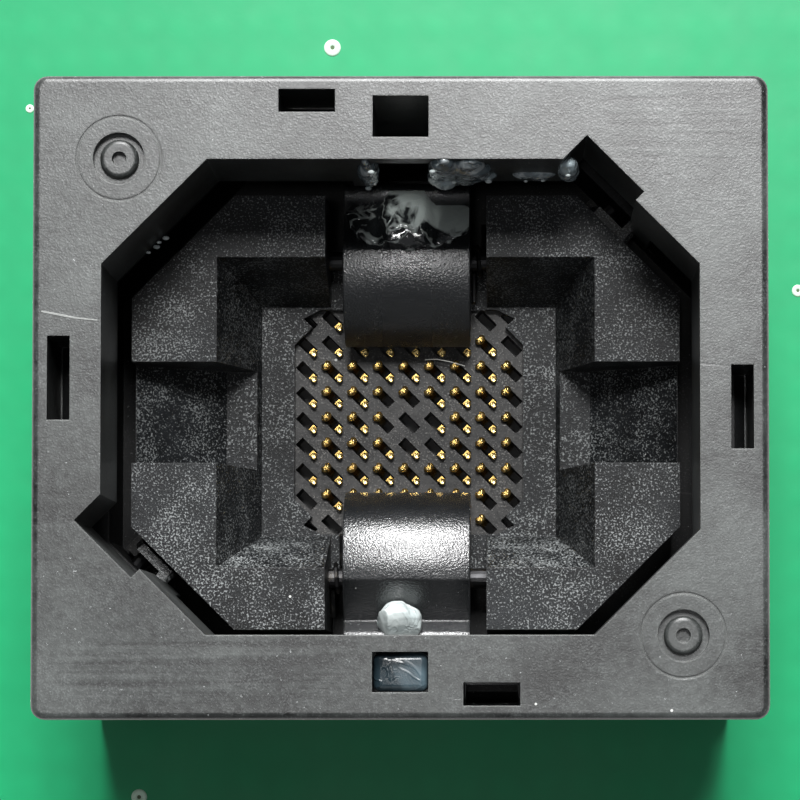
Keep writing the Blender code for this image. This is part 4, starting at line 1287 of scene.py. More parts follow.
@dataclass
class CoverFrame:
    """The press-down cover: a hollow frame with an eight-sided opening, slots, windows and gate marks."""

    half_x: float = 10.5
    half_y: float = 9.2
    corner: float = 0.4
    corner_steps: int = 5
    rim: float = 0.2
    rim_steps: int = 4
    edge: float = 0.045
    bottom: float = 15.6
    skirt: float = 0.55
    opening: Place = (8.53, 6.79, 3.0)
    notches: tuple[tuple[int, float, float], ...] = ((1, -1.52, 0.785), (-1, -4.06, -1.755))
    notch_out: float = 9.05
    window_x: float = 0.8
    windows_y: tuple[Point, Point] = ((7.42, 8.61), (-8.42, -7.27))
    ledge: float = 22.97
    hook_slots: tuple[Point, Point] = ((1, -2.68), (-1, 2.60))
    hook_half: float = 0.81
    hook_span: Place = (8.14, 8.80, 8.54)
    side_slots: tuple[Point, Point] = ((-1, 0.53), (1, -0.30))
    side_half: float = 1.2
    side_span: Place = (9.41, 10.06, 9.81)
    recess_x: float = 0.84
    recess_y: Point = (6.5, 7.5)
    recess_roof: float = 0.85
    rib_x: Point = (0.92, 1.6)
    rib_y: Point = (7.0, 7.4)
    rib_bottom: float = 19.64
    rib_seat: float = 0.6
    wedge: tuple[Point, ...] = (
        (0, 22.5), (0, 21.9), (0.25, 19.5), (0.37, 19.2), (0.75, 19.2), (0.85, 22.5),
    )
    wedge_span: Point = (8.741, 9.07)
    gate: Point = (8.04, 6.81)
    gate_groove: Place = (1.24, 1.17, 0.03)
    gate_recess: Point = (0.74, 0.32)
    gate_boss: Place = (0.55, 0.5, 0.08)
    gate_boss_edge: float = 0.12
    gate_dimple: Point = (0.21, 0.36)

    def outline(self) -> list[Point]:
        """The outer outline with its rounded corners.

        Returns:
            The outline's points.
        """
        x, y, r = self.half_x - self.corner, self.half_y - self.corner, self.corner
        points: list[Point] = []
        for cx, cy, start in ((x, y, 0), (-x, y, 90), (-x, -y, 180), (x, -y, 270)):
            points += arc((cx, cy), r, start, start + 90, self.corner_steps)
        return points

    def body(self) -> bpy.types.Object:
        """The solid block with its rounded rim, hollowed from below.

        Returns:
            The block.
        """
        block = outline_solid("cover_shell", self.outline(), self.bottom, COVER_TOP)
        pick(block)
        bpy.ops.object.mode_set(mode="EDIT")
        bpy.ops.mesh.select_all(action="DESELECT")
        bpy.ops.object.mode_set(mode="OBJECT")
        top = (COVER_TOP - self.rim / 2) * MM
        for edge in block.data.edges:
            edge.select = all(block.data.vertices[v].co.z > top for v in edge.vertices)
        bpy.ops.object.mode_set(mode="EDIT")
        bpy.ops.mesh.select_mode(type="EDGE")
        bpy.ops.mesh.bevel(offset=self.rim * MM, segments=self.rim_steps, profile=0.5)
        bpy.ops.object.mode_set(mode="OBJECT")
        x, y = self.half_x - self.skirt, self.half_y - self.skirt
        combine(block, box_solid("hollow", (-x, -y, self.bottom - PAST), (x, y, RING_BOTTOM)))
        return block

    def slots(self) -> list[tuple[Place, Place]]:
        """The boxes of the hook slots and of the ledges inside them.

        Returns:
            Pairs of corners.
        """
        top, low = COVER_TOP + PAST, RING_BOTTOM - PAST
        found: list[tuple[Place, Place]] = []
        near, outer, inner = self.hook_span
        for side, centre in self.hook_slots:
            for reach, start in ((outer, self.ledge), (inner, low)):
                ys = sorted((side * near, side * reach))
                corner = (centre - self.hook_half, ys[0], start)
                found.append((corner, (centre + self.hook_half, ys[1], top)))
        near, outer, inner = self.side_span
        for side, centre in self.side_slots:
            for reach, start in ((outer, self.ledge), (inner, low)):
                xs = sorted((side * near, side * reach))
                corner = (xs[0], centre - self.side_half, start)
                found.append((corner, (xs[1], centre + self.side_half, top)))
        return found

    def cut_openings(self, block: bpy.types.Object) -> None:
        """Cuts the opening, corner notches, windows, wall recesses and hook slots.

        Args:
            block: The cover's block.
        """
        low, high = RING_BOTTOM - PAST, COVER_TOP + PAST
        combine(block, outline_solid("opening", octagon(*self.opening), low, high))
        for side, start, end in self.notches:
            spans = tuple(sorted((side * (self.notch_out - 2.5), side * self.notch_out)))
            combine(block, outline_solid("notch", slanted((start, end), spans), low, high))
        for south, north in self.windows_y:
            combine(block, box_solid("window", (-self.window_x, south, low), (self.window_x, north, high)))
        for side in (1, -1):
            ys, x = sorted(side * y for y in self.recess_y), self.recess_x
            recess = box_solid("recess", (-x, ys[0], low), (x, ys[1], COVER_TOP - self.recess_roof))
            combine(block, recess)
        for corner, opposite in self.slots():
            combine(block, box_solid("slot", corner, opposite))

    def add_cams(self, block: bpy.types.Object) -> None:
        """Joins the ribs that press the latches and the wedges that tip the levers.

        Args:
            block: The cover's block.
        """
        for side in (1, -1):
            for flank in (1, -1):
                ys, xs = sorted(side * y for y in self.rib_y), sorted(flank * x for x in self.rib_x)
                top = RING_BOTTOM + self.rib_seat
                rib = box_solid("rib", (xs[0], ys[0], self.rib_bottom), (xs[1], ys[1], top))
                combine(block, rib, "UNION")
        for notch in self.notches:
            side, end = notch[0], notch[2]
            wedge = [(end + out, z) for out, z in self.wedge]
            low, high = sorted(side * reach for reach in self.wedge_span)
            combine(block, outline_solid("wedge", wedge, low, high, Plane.FACING_ACROSS), "UNION")

    def add_gates(self, block: bpy.types.Object) -> None:
        """Cuts the two round gate marks: a groove, a recess and a dimpled boss.

        Args:
            block: The cover's block.
        """
        top = COVER_TOP + PAST
        outer, inner, depth = self.gate_groove
        recess, recess_depth = self.gate_recess
        boss_r, foot, head = self.gate_boss
        dimple, dimple_depth = self.gate_dimple
        for x, y in ((-self.gate[0], self.gate[1]), (self.gate[0], -self.gate[1])):
            groove = rod_solid("groove", (x, y, COVER_TOP - depth), (x, y, top), outer, 48)
            combine(groove, rod_solid("keep", (x, y, COVER_TOP - PAST), (x, y, top + PAST), inner, 48))
            combine(block, groove)
            combine(block, rod_solid("recess", (x, y, COVER_TOP - recess_depth), (x, y, top), recess, 40))
            boss = rod_solid("boss", (x, y, COVER_TOP - foot), (x, y, COVER_TOP - head), boss_r, 36)
            soften_edges(boss, self.gate_boss_edge, 3)
            combine(block, boss, "UNION")
            combine(block, rod_solid("dimple", (x, y, COVER_TOP - dimple_depth), (x, y, top), dimple, 20))

    def build(self, finishes: Finishes) -> None:
        """Builds and dresses the cover.

        Args:
            finishes: The adapter's finishes.
        """
        block = self.body()
        self.cut_openings(block)
        self.add_cams(block)
        self.add_gates(block)
        soften_edges(block, self.edge, 2)
        fit(block, Body.COVER, finishes.cover, Slot.COVER, "cover_frame")


@dataclass
class PackageNest:
    """The moulded guide: sloping corner blocks, side channels and a stepped floor opening."""

    half: Place = (8.24, 6.54, 3.1)
    edge: float = 0.04
    bottom: float = 15.72
    top: float = 20.76
    floor: float = 17.16
    seat: Point = (4.57, 3.565)
    lead_in: float = 1.12
    tooth: float = 0.55
    floor_half: Point = (3.56, 3.50)
    channel_y: float = 1.525
    channel_x: float = 5.62
    channel_step: float = 0.4
    channel_rise: float = 19.7
    latch_x: float = 2.43
    latch_y: float = 3.5
    bar_y: float = 5.1
    bar_top: float = 17.0
    above: float = 21.8
    below: float = 14.0
    ear_x: Point = (2.73, 3.45)
    ear_y: float = 0.65
    ear_top: float = 18.67
    bore_x: Point = (2.3, 4.0)
    bore_r: float = 0.34
    slider_half: Point = (4.56, 4.11)
    slider_roof: float = 16.79
    lever_heads: tuple[Point, Point] = ((-1.21, 0.81), (-3.75, -1.73))
    lever_arms: tuple[Point, Point] = ((-0.71, 1.16), (-3.56, -1.94))
    head_from: float = 7.14
    arm_from: float = 3.0
    arm_to: float = 9.2

    def pocket(self) -> bpy.types.Object:
        """The package's pocket, wider at its mouth.

        Returns:
            The cutter.
        """
        x, y = self.seat
        pocket = box_solid("pocket", (-x, -y, self.floor), (x, y, self.top + 0.01))
        for vertex in pocket.data.vertices:
            if vertex.co.z > (self.floor + 0.1) * MM:
                vertex.co.x += math.copysign(self.lead_in * MM, vertex.co.x)
                vertex.co.y += math.copysign(self.lead_in * MM, vertex.co.y)
        return pocket

    def floor_window(self) -> list[Point]:
        """The opening over the contacts, with its teeth.

        Returns:
            The outline.
        """
        (x, y), s = self.floor_half, self.tooth
        quarter = [(x, y - 2 * s), (x - s, y - s), (x - s / 2, y - s / 2), (x - 1.5 * s, y)]
        points: list[Point] = []
        for sx, sy in ((1, 1), (-1, 1), (-1, -1), (1, -1)):
            run = [(sx * a, sy * b) for a, b in quarter]
            points += run if sx * sy > 0 else run[::-1]
        return points

    def cut_sides(self, nest: bpy.types.Object) -> None:
        """Cuts the side channels, the latch wells and the room for the base's ears.

        Args:
            nest: The nest.
        """
        y, above, below = self.channel_y, self.above, self.below
        inner, outer, step = self.seat[0] - 0.5, self.half[0] + 0.2, self.floor + self.channel_step
        for side in (1, -1):
            ramp = [(inner, step), (self.channel_x, step), (outer, self.channel_rise)]
            ramp += [(outer, above), (inner, above)]
            ramp = [(side * a, b) for a, b in ramp]
            combine(nest, outline_solid("channel", ramp, -y, y, Plane.FACING_Y))
            near, far = side * self.latch_y, side * (self.half[1] + PAST)
            bar, x = side * self.bar_y, self.latch_x
            ys = sorted((near, bar))
            combine(nest, box_solid("well", (-x, ys[0], self.bar_top), (x, ys[1], above)))
            ys = sorted((bar, far))
            combine(nest, box_solid("end", (-x, ys[0], below), (x, ys[1], above)))
            for flank in (1, -1):
                xs = sorted(flank * x for x in self.ear_x)
                py, pz = side * LATCH_PIVOT[0], LATCH_PIVOT[1]
                low, high = (xs[0], py - self.ear_y, below), (xs[1], py + self.ear_y, self.ear_top)
                combine(nest, box_solid("ear_room", low, high))
                start, end = [(flank * x, py, pz) for x in self.bore_x]
                combine(nest, rod_solid("bore", start, end, self.bore_r, 20))

    def cut_below(self, nest: bpy.types.Object) -> None:
        """Cuts the slider's room out of the underside, and the opening over the contacts.

        Args:
            nest: The nest.
        """
        (x, y), roof, below = self.slider_half, self.slider_roof, self.below
        combine(nest, box_solid("slider_room", (-x, -y, below), (x, y, roof)))
        for head, arm, side in zip(self.lever_heads, self.lever_arms, (1, -1)):
            for ends, start in ((head, self.head_from), (arm, self.arm_from)):
                spans = tuple(sorted((side * start, side * self.arm_to)))
                combine(nest, outline_solid("arm_room", slanted(ends, spans), below, roof))
        combine(nest, outline_solid("window", self.floor_window(), roof - 0.5, self.floor + 0.5))

    def build(self, finishes: Finishes) -> None:
        """Builds and dresses the nest.

        Args:
            finishes: The adapter's finishes.
        """
        nest = outline_solid("nest_guide", octagon(*self.half), self.bottom, self.top)
        combine(nest, self.pocket())
        self.cut_sides(nest)
        self.cut_below(nest)
        soften_edges(nest, self.edge, 2, 30.0)
        fit(nest, Body.BASE, finishes.nest, Slot.NEST, "package_nest")


@dataclass
class SwingLatch:
    """A domed latch with its contact lip, hub and cam nose."""

    name: str
    side: int
    body: Body
    half_x: float = 1.93
    edge: float = 0.07
    pivot: Point = LATCH_PIVOT
    tip: Point = (2.25, 17.86)
    lip: tuple[Point, ...] = ((0.0, 0.0), (1.0, 0.0), (1.1, 0.2), (1.5, 0.2))
    back_r: float = 2.35
    back_drop: float = 0.09
    crest_y: float = 4.6
    back_end: float = 5.05
    hub_r: float = 0.85
    hub_turn: Point = (195, 325)
    nose_r: float = 0.35
    nose_turn: Point = (-40, 130)
    nose: Point = (1.883, 1.2)
    neck: Point = (0.55, 0.12)
    bore_r: float = 0.34

    def outline(self) -> list[Point]:
        """The latch's side view in Y and Z.

        Returns:
            The outline.
        """
        y, z = self.tip
        back = (self.crest_y, z - self.back_drop)
        nose = (self.pivot[0] + self.nose[0], self.pivot[1] + self.nose[1])
        start = math.degrees(math.acos((y + 0.015 - back[0]) / self.back_r))
        end = math.degrees(math.acos((self.back_end - back[0]) / self.back_r))
        points = [(y + a, z + b) for a, b in self.lip]
        points += arc(self.pivot, self.hub_r, *self.hub_turn, 14)
        points += arc(nose, self.nose_r, *self.nose_turn, 12)
        points.append((nose[0] - self.neck[0], nose[1] - self.neck[1]))
        points += arc(back, self.back_r, end, start, 40)
        return [(self.side * a, b) for a, b in points]

    def build(self, material: bpy.types.Material) -> None:
        """Builds and dresses the latch.

        Args:
            material: Its finish.
        """
        x, y, z = self.half_x, self.side * self.pivot[0], self.pivot[1]
        latch = outline_solid(f"{self.name}_shell", self.outline(), -x, x, Plane.FACING_X)
        combine(latch, rod_solid("bore", (-3, y, z), (3, y, z), self.bore_r, 24))
        soften_edges(latch, self.edge, 3, 38.0, even=True)
        fit(latch, self.body, material, Slot.LATCH, self.name)


@dataclass
class ContactTips:
    """The gold ends of the pinch contacts: a round bead and a two-lobed cup at each ball."""

    pitch: float = 0.8
    columns: int = 8
    rows: int = 6
    top: float = 17.06
    bare: frozenset[tuple[int, int]] = frozenset({(3, 2), (3, 3), (4, 2), (4, 3)})
    outliers: tuple[tuple[int, int], ...] = ((1, -1), (6, -1), (1, 6), (6, 6))
    bead_r: float = 0.1
    bead_flat: float = 0.06
    bead_squash: Point = (0.7, 0.8)
    bead_at: Point = (0.22, 0.06)
    cup_r: float = 0.175
    cup_stretch: Place = (0.8, 1.02, 0.9)
    cup_notch: Place = (0.07, 1.5, 0.02)
    cup_groove: Point = (0.06, 1.1)
    cup_at: Point = (0.31, 0.1)

    def places(self) -> list[Point]:
        """Centres of the balls that have a contact.

        Returns:
            The centres.
        """
        cells = [(i, j) for i in range(self.columns) for j in range(self.rows)]
        cells = [cell for cell in cells if cell not in self.bare]
        cells += self.outliers
        x0, y0 = -self.pitch * (self.columns - 1) / 2, self.pitch * (self.rows - 1) / 2
        return [(x0 + self.pitch * i, y0 - self.pitch * j) for i, j in cells]

    def bead(self) -> bpy.types.Object:
        """The fixed arm's rolled end.

        Returns:
            The bead at the origin.
        """
        deselect()
        bpy.ops.mesh.primitive_uv_sphere_add(segments=12, ring_count=8, radius=self.bead_r * MM)
        bead = bpy.context.object
        flat, (level, fold) = self.bead_flat * MM, self.bead_squash
        for vertex in bead.data.vertices:
            if vertex.co.z > flat:
                vertex.co.z = flat - (vertex.co.z - flat) * fold
            vertex.co.x -= max(0.0, -vertex.co.x - flat) * level
            vertex.co.y -= max(0.0, -vertex.co.y - flat) * level
        return bead

    def cup(self) -> bpy.types.Object:
        """The sprung arm's folded end, with two lobes that hold the ball.

        Returns:
            The cup at the origin.
        """
        deselect()
        bpy.ops.mesh.primitive_uv_sphere_add(segments=16, ring_count=10, radius=self.cup_r * MM)
        cup = bpy.context.object
        long, wide, tall = self.cup_stretch
        notch_half, notch_depth, notch_to = self.cup_notch
        groove_half, groove_depth = self.cup_groove
        for vertex in cup.data.vertices:
            p = vertex.co.copy()
            along, across = p.dot(ALONG) / MM, p.dot(ACROSS) / MM
            notch = max(0.0, notch_half - abs(across)) * notch_depth
            groove = max(0.0, groove_half - abs(across)) * (groove_depth if p.z > 0 else 0.0)
            along = along * long + (notch if along < notch_to else 0.0)
            height = p.z / MM * tall - groove
            vertex.co = (ALONG * along + ACROSS * across * wide) * MM + Vector((0, 0, height * MM))
        return cup

    def build(self, finishes: Finishes) -> None:
        """Builds and dresses all the tips.

        Args:
            finishes: The adapter's finishes.
        """
        balls = [Vector((x, y, self.top)) for x, y in self.places()]
        beads = [(*(ball - ALONG * self.bead_at[0])[:2], self.top - self.bead_at[1]) for ball in balls]
        cups = [(*(ball + ALONG * self.cup_at[0])[:2], self.top - self.cup_at[1]) for ball in balls]
        fixed = join_copies("fixed_contact_tips", self.bead(), beads)
        fit(fixed, Body.BASE, finishes.gold, Slot.STEEL)
        sprung = join_copies("sprung_contact_tips", self.cup(), cups)
        fit(sprung, Body.BASE, finishes.gold, Slot.STEEL)


@dataclass
class Board:
    """Small things on the circuit board: vias, pads and solder round the header pins."""

    vias: tuple[Place, ...] = (
        (-2.75, 13.09, 0.28), (-9.10, -11.86, 0.26), (12.75, 4.94, 0.2), (-12.84, 11.05, 0.14),
    )
    via_ring: Place = (0.62, 0.38, 0.35)
    via_rise: float = 0.01
    hole_span: Point = (0.03, 0.012)
    solder_rise: float = 0.002
    solder: tuple[Point, ...] = (
        (0.92, 0.0), (0.92, 0.035), (0.74, 0.05), (0.56, 0.14), (0.44, 0.34), (0.36, 0.6), (0.3, 0.62),
    )
    header_x: float = 16.51
    pitch: float = 2.54
    rows: int = 12

    def pin_places(self) -> list[Point]:
        """Centres of all the header pins.

        Returns:
            The centres.
        """
        half = self.pitch / 2
        xs = [side * self.header_x + offset for side in (-1, 1) for offset in (-half, half)]
        ys = [self.pitch * (row - (self.rows - 1) / 2) for row in range(self.rows)]
        return [(x, y) for x in xs for y in ys]

    def fillet(self) -> bpy.types.Object:
        """A cone of solder that climbs a pin, with a flat pad round its foot.

        Returns:
            The fillet at the origin.
        """
        deselect()
        bpy.ops.mesh.primitive_circle_add(vertices=20, radius=self.solder[0][0] * MM, fill_type="NGON")
        cone = bpy.context.object
        bpy.ops.object.mode_set(mode="EDIT")
        for (before, low), (after, high) in zip(self.solder, self.solder[1:]):
            rise, share = (0, 0, (high - low) * MM), after / before
            bpy.ops.mesh.extrude_region_move(TRANSFORM_OT_translate={"value": rise})
            bpy.ops.transform.resize(value=(share, share, 1.0), center_override=(0.0, 0.0, high * MM))
        bpy.ops.mesh.select_all(action="SELECT")
        bpy.ops.mesh.normals_make_consistent(inside=False)
        bpy.ops.object.mode_set(mode="OBJECT")
        return cone

    def via(self, radius: float) -> bpy.types.Object:
        """A low ring of mask over copper.

        Args:
            radius: Outer radius in millimetres.

        Returns:
            The ring at the origin.
        """
        major, minor, height = self.via_ring
        deselect()
        bpy.ops.mesh.primitive_torus_add(
            major_segments=28, minor_segments=12,
            major_radius=radius * major * MM, minor_radius=radius * minor * MM,
        )
        ring = bpy.context.object
        for vertex in ring.data.vertices:
            vertex.co.z *= height
        return ring

    def build(self, finishes: Finishes) -> None:
        """Builds and dresses the board's small things.

        Args:
            finishes: The adapter's finishes.
        """
        feet = [(x, y, BOARD_TOP + self.solder_rise) for x, y in self.pin_places()]
        pads = join_copies("header_solder", self.fillet(), feet)
        fit(pads, Body.BASE, finishes.tin, Slot.STEEL)
        down, up = self.hole_span
        for number, (x, y, radius) in enumerate(self.vias):
            ring = join_copies(f"board_via_{number}", self.via(radius), [(x, y, BOARD_TOP + self.via_rise)])
            fit(ring, Body.BASE, finishes.ring, Slot.BOARD)
            # A dark disc in the via paints the shade of its hole
            start, end = (x, y, BOARD_TOP - down), (x, y, BOARD_TOP + up)
            hole_shade = rod_solid(f"via_hole_{number}", start, end, radius / 2, 20)
            fit(hole_shade, Body.BASE, finishes.hole_shade, Slot.BOARD)


@dataclass
class Glue:
    """Dried glue on the latches, in the cover's south window and on its north wall."""

    mid_x: Point = (0.55, 0.88)
    mid_reach: float = 2.5
    side_reach: float = 2.05
    give: float = 0.12
    half_x: float = 1.9
    north: tuple[Place, Place] = ((-1.75, 4.95, 18.5), (2.0, 7.15, 20.9))
    north_swell: Point = (0.34, 0.6)
    south: tuple[Place, Place] = ((-0.88, -6.95, 19.0), (0.46, -5.66, 20.35))
    south_swell: Point = (0.2, 0.7)
    plug: tuple[Place, Place] = ((-0.78, -8.4, 23.6), (0.78, -7.29, 25.8))
    plug_edge: float = 0.2
    patch_swell: Place = (0.3, 0.9, 0.0)
    patches: tuple[tuple[str, Place, Place], ...] = (
        ("glue_wall_west", (-1.32, 6.5, 21.6), (-0.72, 7.1, 26.0)),
        ("glue_wall_middle", (0.7, 6.45, 21.6), (1.75, 7.1, 26.1)),
        ("glue_wall_east", (1.3, 6.5, 22.2), (2.55, 7.0, 26.0)),
        ("glue_foot_east", (2.1, 6.55, 22.9), (2.8, 6.95, 23.6)),
        ("glue_corner_ne", (4.55, 6.45, 23.6), (5.15, 7.0, 25.7)),
        ("glue_trail_ne", (3.2, 6.6, 22.9), (4.5, 7.0, 23.7)),
    )
    fibre: tuple[Place, ...] = (
        (0.5, 1.94, 17.14), (0.87, 1.95, 17.2), (1.28, 1.87, 17.22), (1.745, 1.74, 17.16),
    )
    fibre_r: float = 0.014
    chip_flat: float = 0.6
    # Glue crumbs near the nest's north-west corner and on the cover's north wall; their pale colour is a
    # painted highlight
    highlight_chips: tuple[tuple[float, float, float, float], ...] = (
        (-7.6, 4.63, 22.2, 0.07), (-7.37, 4.81, 22.1, 0.1), (-7.27, 4.92, 22.3, 0.07),
        (-7.09, 5.07, 22.15, 0.1), (-0.86, 6.5, 25.6, 0.09), (-0.9, 6.46, 24.2, 0.06),
        (-1.05, 6.45, 22.8, 0.09), (0.9, 6.5, 25.7, 0.08), (1.0, 6.42, 24.0, 0.09),
        (1.25, 6.4, 23.3, 0.11), (1.5, 6.44, 24.0, 0.07), (2.5, 6.57, 23.4, 0.1),
        (4.8, 6.46, 25.2, 0.07), (3.6, 6.6, 23.2, 0.06), (4.1, 6.6, 23.3, 0.06),
    )

    def lump(
        self, name: str, low: Place, high: Place, rough: float, grain: float, fold: float = 0.35
    ) -> bpy.types.Object:
        """An uneven rounded lump.

        Args:
            name: The piece's name.
            low: Lowest corner of its box, in millimetres.
            high: Highest corner.
            rough: How far its surface swings, in millimetres.
            grain: Size of the swings, in millimetres.
            fold: Depth of the finer folds, as a share of rough.

        Returns:
            The lump.
        """
        middle = [(a + b) / 2 * MM for a, b in zip(low, high)]
        deselect()
        bpy.ops.mesh.primitive_uv_sphere_add(segments=88, ring_count=56, radius=1.0, location=middle)
        lump = bpy.context.object
        lump.name = name
        lump.scale = [(b - a) / 2 * MM for a, b in zip(low, high)]
        bake_place(lump)
        swells = (("CLOUDS", grain, rough), ("MARBLE", grain * 0.55, rough * fold))
        for kind, size, strength in [swell for swell in swells if swell[2] > 0]:
            swell = bpy.data.textures.new(f"{name}_{kind.lower()}", kind)
            swell.noise_scale = size * MM
            swell.noise_depth = 2
            displace = lump.modifiers.new("swell", "DISPLACE")
            displace.texture = swell
            displace.texture_coords = "LOCAL"
            displace.strength = strength * MM
            displace.mid_level = 0.5
            bpy.ops.object.modifier_apply(modifier=displace.name)
        smooth(lump, LUMP_TURN)
        return lump

    def hug(self, lump: bpy.types.Object, latch: SwingLatch) -> None:
        """Keeps a lump within the room that its latch swings through.

        Between the cover's ribs the lump may stand further from the pivot than beside them.

        Args:
            lump: The lump on the latch's back.
            latch: The latch that carries it.
        """
        y, z = latch.side * latch.pivot[0] * MM, latch.pivot[1] * MM
        for vertex in lump.data.vertices:
            x = vertex.co.x / MM
            beside = min(max((abs(x) - self.mid_x[0]) / (self.mid_x[1] - self.mid_x[0]), 0.0), 1.0)
            limit = (self.mid_reach + (self.side_reach - self.mid_reach) * beside) * MM
            out = Vector((0.0, vertex.co.y - y, vertex.co.z - z))
            soft = self.give * MM
            if out.length > limit - soft:
                kept = limit - soft * math.exp(-(out.length - limit + soft) / soft)
                out *= kept / out.length
                vertex.co.y, vertex.co.z = y + out.y, z + out.z
            vertex.co.x = max(-self.half_x, min(self.half_x, x)) * MM
        lump.data.update()

    def build(self, finishes: Finishes, north: SwingLatch, south: SwingLatch) -> None:
        """Builds and dresses the glue.

        Args:
            finishes: The adapter's finishes.
            north: The north latch.
            south: The south latch.
        """
        lump = self.lump("glue_lump_north", *self.north, *self.north_swell)
        self.hug(lump, north)
        smooth(lump, LUMP_TURN)
        fit(lump, Body.NORTH_LATCH, finishes.glue_north, Slot.GLUE, "glue_latch_north")
        lump = self.lump("glue_lump_south", *self.south, *self.south_swell)
        self.hug(lump, south)
        smooth(lump, LUMP_TURN)
        fit(lump, Body.SOUTH_LATCH, finishes.glue_south, Slot.GLUE, "glue_latch_south")
        plug = box_solid("glue_plug_south", *self.plug)
        soften_edges(plug, self.plug_edge, 4)
        fit(plug, Body.COVER, finishes.glue_window, Slot.GLUE, "glue_window")
        for name, low, high in self.patches:
            patch = self.lump(name, low, high, *self.patch_swell)
            fit(patch, Body.COVER, finishes.glue_wall, Slot.GLUE)
        # The crumbs' pale colour paints glossy highlights
        for number, (x, y, z, size) in enumerate(self.highlight_chips):
            flat = size * self.chip_flat
            low, high = (x - size, y - flat, z - flat), (x + size, y + flat, z + flat)
            chip = self.lump(f"glue_chip_{number}", low, high, flat, size)
            fit(chip, Body.COVER, finishes.glue_south, Slot.GLUE)
        fibre = wire_solid("fibre_over_contacts", list(self.fibre), self.fibre_r, 1)
        fit(fibre, Body.BASE, finishes.fibre, Slot.GLUE)


@dataclass
class ReturnSprings:
    """The four coil springs under the cover's corners."""

    places: tuple[tuple[str, int, int], ...] = (("ne", 1, 1), ("nw", -1, 1), ("se", 1, -1), ("sw", -1, -1))
    centre: Point = (8.35, 7.1)
    radius: float = 0.86
    wire: float = 0.13
    turns: int = 6
    low: float = 14.15
    high: float = 24.61
    steps: int = 24
    closed: float = 0.75
    dead_pitch: float = 2.2

    def path(self, sx: int, sy: int) -> list[Place]:
        """The coil's path.

        Args:
            sx: The corner's side along X.
            sy: The corner's side along Y.

        Returns:
            The points.
        """
        steps, closed, dead = self.steps, self.closed, self.wire * self.dead_pitch
        points: list[Place] = []
        for i in range(self.turns * steps + 1):
            turn = i / steps
            share = min(max((turn - closed) / (self.turns - 2 * closed), 0.0), 1.0)
            grow = dead * (min(turn, closed) + max(turn - self.turns + closed, 0.0))
            z = self.low + share * (self.high - self.low - 2 * dead * closed) + grow
            angle = 2 * math.pi * turn
            x, y = sx * self.centre[0], sy * self.centre[1]
            points.append((x + self.radius * math.cos(angle), y + self.radius * math.sin(angle), z))
        return points

    def build(self, finishes: Finishes) -> None:
        """Builds and dresses the springs, each with a mesh of its own.

        Args:
            finishes: The adapter's finishes.
        """
        for corner, sx, sy in self.places:
            coil = wire_solid(f"coil_spring_{corner}", self.path(sx, sy), self.wire)
            fit(coil, Body.BASE, finishes.steel, Slot.STEEL, f"return_spring_{corner}")
            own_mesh(coil)


class CarriedNodes:
    """CAD nodes that keep their shape and get their finish."""

    def build(self, finishes: Finishes) -> None:
        """Dresses the nodes.

        Args:
            finishes: The adapter's finishes.
        """
        dressed = {
            "pcb_board": finishes.board,
            "pin_header_left": finishes.header, "pin_header_right": finishes.header,
            "base_housing": finishes.base,
            "contact_block": finishes.block, "slider_plate": finishes.slider,
            # Pins and latch springs get the darkened steel: painted shade
            "latch_pin_north": finishes.pin, "latch_pin_south": finishes.pin,
            "latch_spring_north": finishes.pin, "latch_spring_south": finishes.pin,
            "lever_ne": finishes.lever, "lever_sw": finishes.lever,
            "lever_pin_ne": finishes.pin, "lever_pin_sw": finishes.pin,
        }
        for name, material in dressed.items():
            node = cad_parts[name]
            node.data.materials.clear()
            node.data.materials.append(material)
            LOG.info("%s: %s", name, material.name)


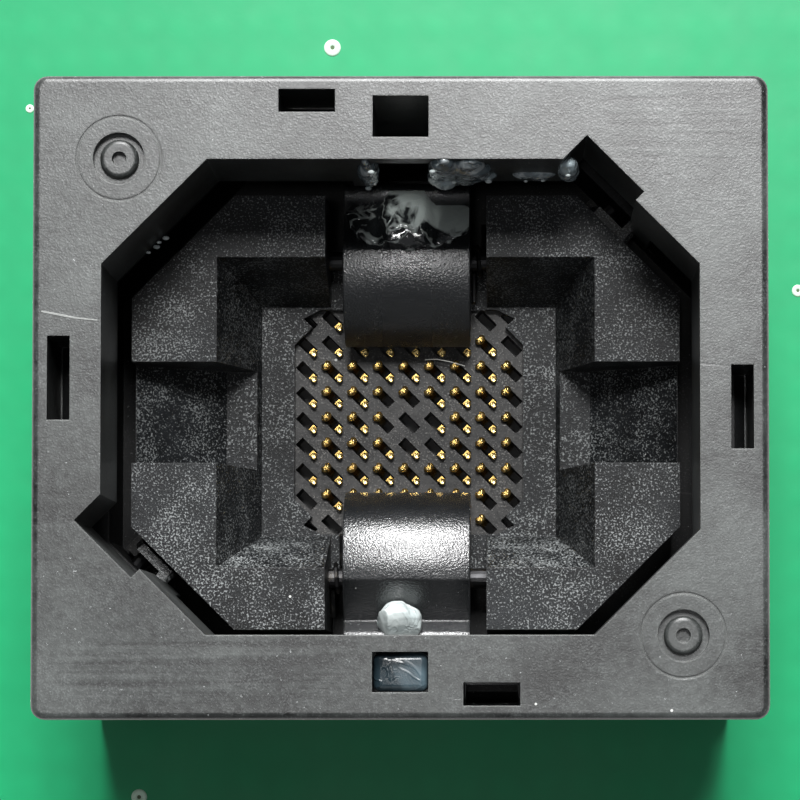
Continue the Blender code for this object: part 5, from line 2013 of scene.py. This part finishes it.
@dataclass
class Studio:
    """A pale floor in a pale world, three soft lamps and the camera over the socket."""

    camera_at: Place = (2.826, -8.502, 121.148)
    focal_px: float = 3349.3
    frame_px: float = 800.0
    tilt: float = 0.043
    roll: float = -0.0005
    shift: Point = (-0.12476, 0.18889)
    sensor: float = 36.0
    clip: Point = (0.005, 20.0)
    floor_size: float = 4.0
    floor_level: float = -0.0002
    floor_colour: Colour = (0.78, 0.78, 0.77)
    floor_roughness: float = 0.7
    world_colour: Colour = (0.93, 0.95, 1.0)
    world_strength: float = 0.17
    aim_at: Place = (0.0, 0.0, 0.015)
    lamps: tuple[tuple[str, Place, Point, float], ...] = (
        ("overhead_panel", (0.015, 0.175, 0.5), (0.13, 0.1), 2.4),
        ("north_window", (0.0, 0.42, 0.36), (0.22, 0.18), 5.2),
        ("bench_lamp", (-0.02, -0.05, 0.5), (0.03, 0.03), 0.1),
    )

    def floor(self) -> None:
        """Adds the flat floor, just below the part."""
        deselect()
        bpy.ops.mesh.primitive_plane_add(size=self.floor_size, location=(0.0, 0.0, self.floor_level))
        floor = bpy.context.object
        floor.name = "studio_floor"
        material = bpy.data.materials.new("studio_floor")
        material.use_nodes = True
        shader = material.node_tree.nodes["Principled BSDF"]
        shader.inputs["Base Color"].default_value = (*self.floor_colour, 1.0)
        shader.inputs["Roughness"].default_value = self.floor_roughness
        floor.data.materials.append(material)

    def lamp(self, name: str, place: Place, size: Point, power: float) -> None:
        """Adds a soft rectangular lamp that looks at the socket.

        Args:
            name: The lamp's name.
            place: Its place in metres.
            size: Its sides in metres.
            power: Its power in watts.
        """
        light = bpy.data.lights.new(name, "AREA")
        light.shape = "RECTANGLE"
        light.size, light.size_y = size
        light.energy = power
        obj = bpy.data.objects.new(name, light)
        obj.location = place
        aim = Vector(self.aim_at) - Vector(place)
        obj.rotation_euler = aim.to_track_quat("-Z", "Y").to_euler()
        bpy.context.scene.collection.objects.link(obj)

    def camera(self) -> None:
        """Adds the camera, with part of the off-centre view as tilt and the rest as shift."""
        data = bpy.data.cameras.new("photo_view")
        data.sensor_width = self.sensor
        data.lens = self.sensor * self.focal_px / self.frame_px
        data.clip_start, data.clip_end = self.clip
        data.shift_x, data.shift_y = self.shift
        camera = bpy.data.objects.new("photo_view", data)
        camera.location = [c * MM for c in self.camera_at]
        forward = Vector((0.0, self.tilt, -1.0)).normalized()
        side = Vector((math.cos(self.roll), math.sin(self.roll), 0.0))
        turn = Matrix((side, side.cross(forward), -forward)).transposed()
        camera.rotation_euler = turn.to_euler()
        bpy.context.scene.collection.objects.link(camera)
        bpy.context.scene.camera = camera

    def world(self) -> None:
        """Sets a pale, even world."""
        world = bpy.data.worlds.new("studio")
        world.use_nodes = True
        background = world.node_tree.nodes["Background"]
        background.inputs["Color"].default_value = (*self.world_colour, 1.0)
        background.inputs["Strength"].default_value = self.world_strength
        bpy.context.scene.world = world

    def build(self) -> None:
        """Builds the studio."""
        self.floor()
        self.world()
        for lamp in self.lamps:
            self.lamp(*lamp)
        self.camera()
        bpy.context.scene.view_settings.view_transform = "Standard"


def main() -> None:
    logging.basicConfig(level=logging.INFO, format="%(name)s %(message)s")
    finishes = Finishes()
    CarriedNodes().build(finishes)
    CoverFrame().build(finishes)
    PackageNest().build(finishes)
    north = SwingLatch("latch_north", 1, Body.NORTH_LATCH)
    south = SwingLatch("latch_south", -1, Body.SOUTH_LATCH)
    north.build(finishes.latch_north)
    south.build(finishes.latch_south)
    ContactTips().build(finishes)
    Board().build(finishes)
    Glue().build(finishes, north, south)
    ReturnSprings().build(finishes)
    Studio().build()
    deselect()


if __name__ == "__main__":
    main()
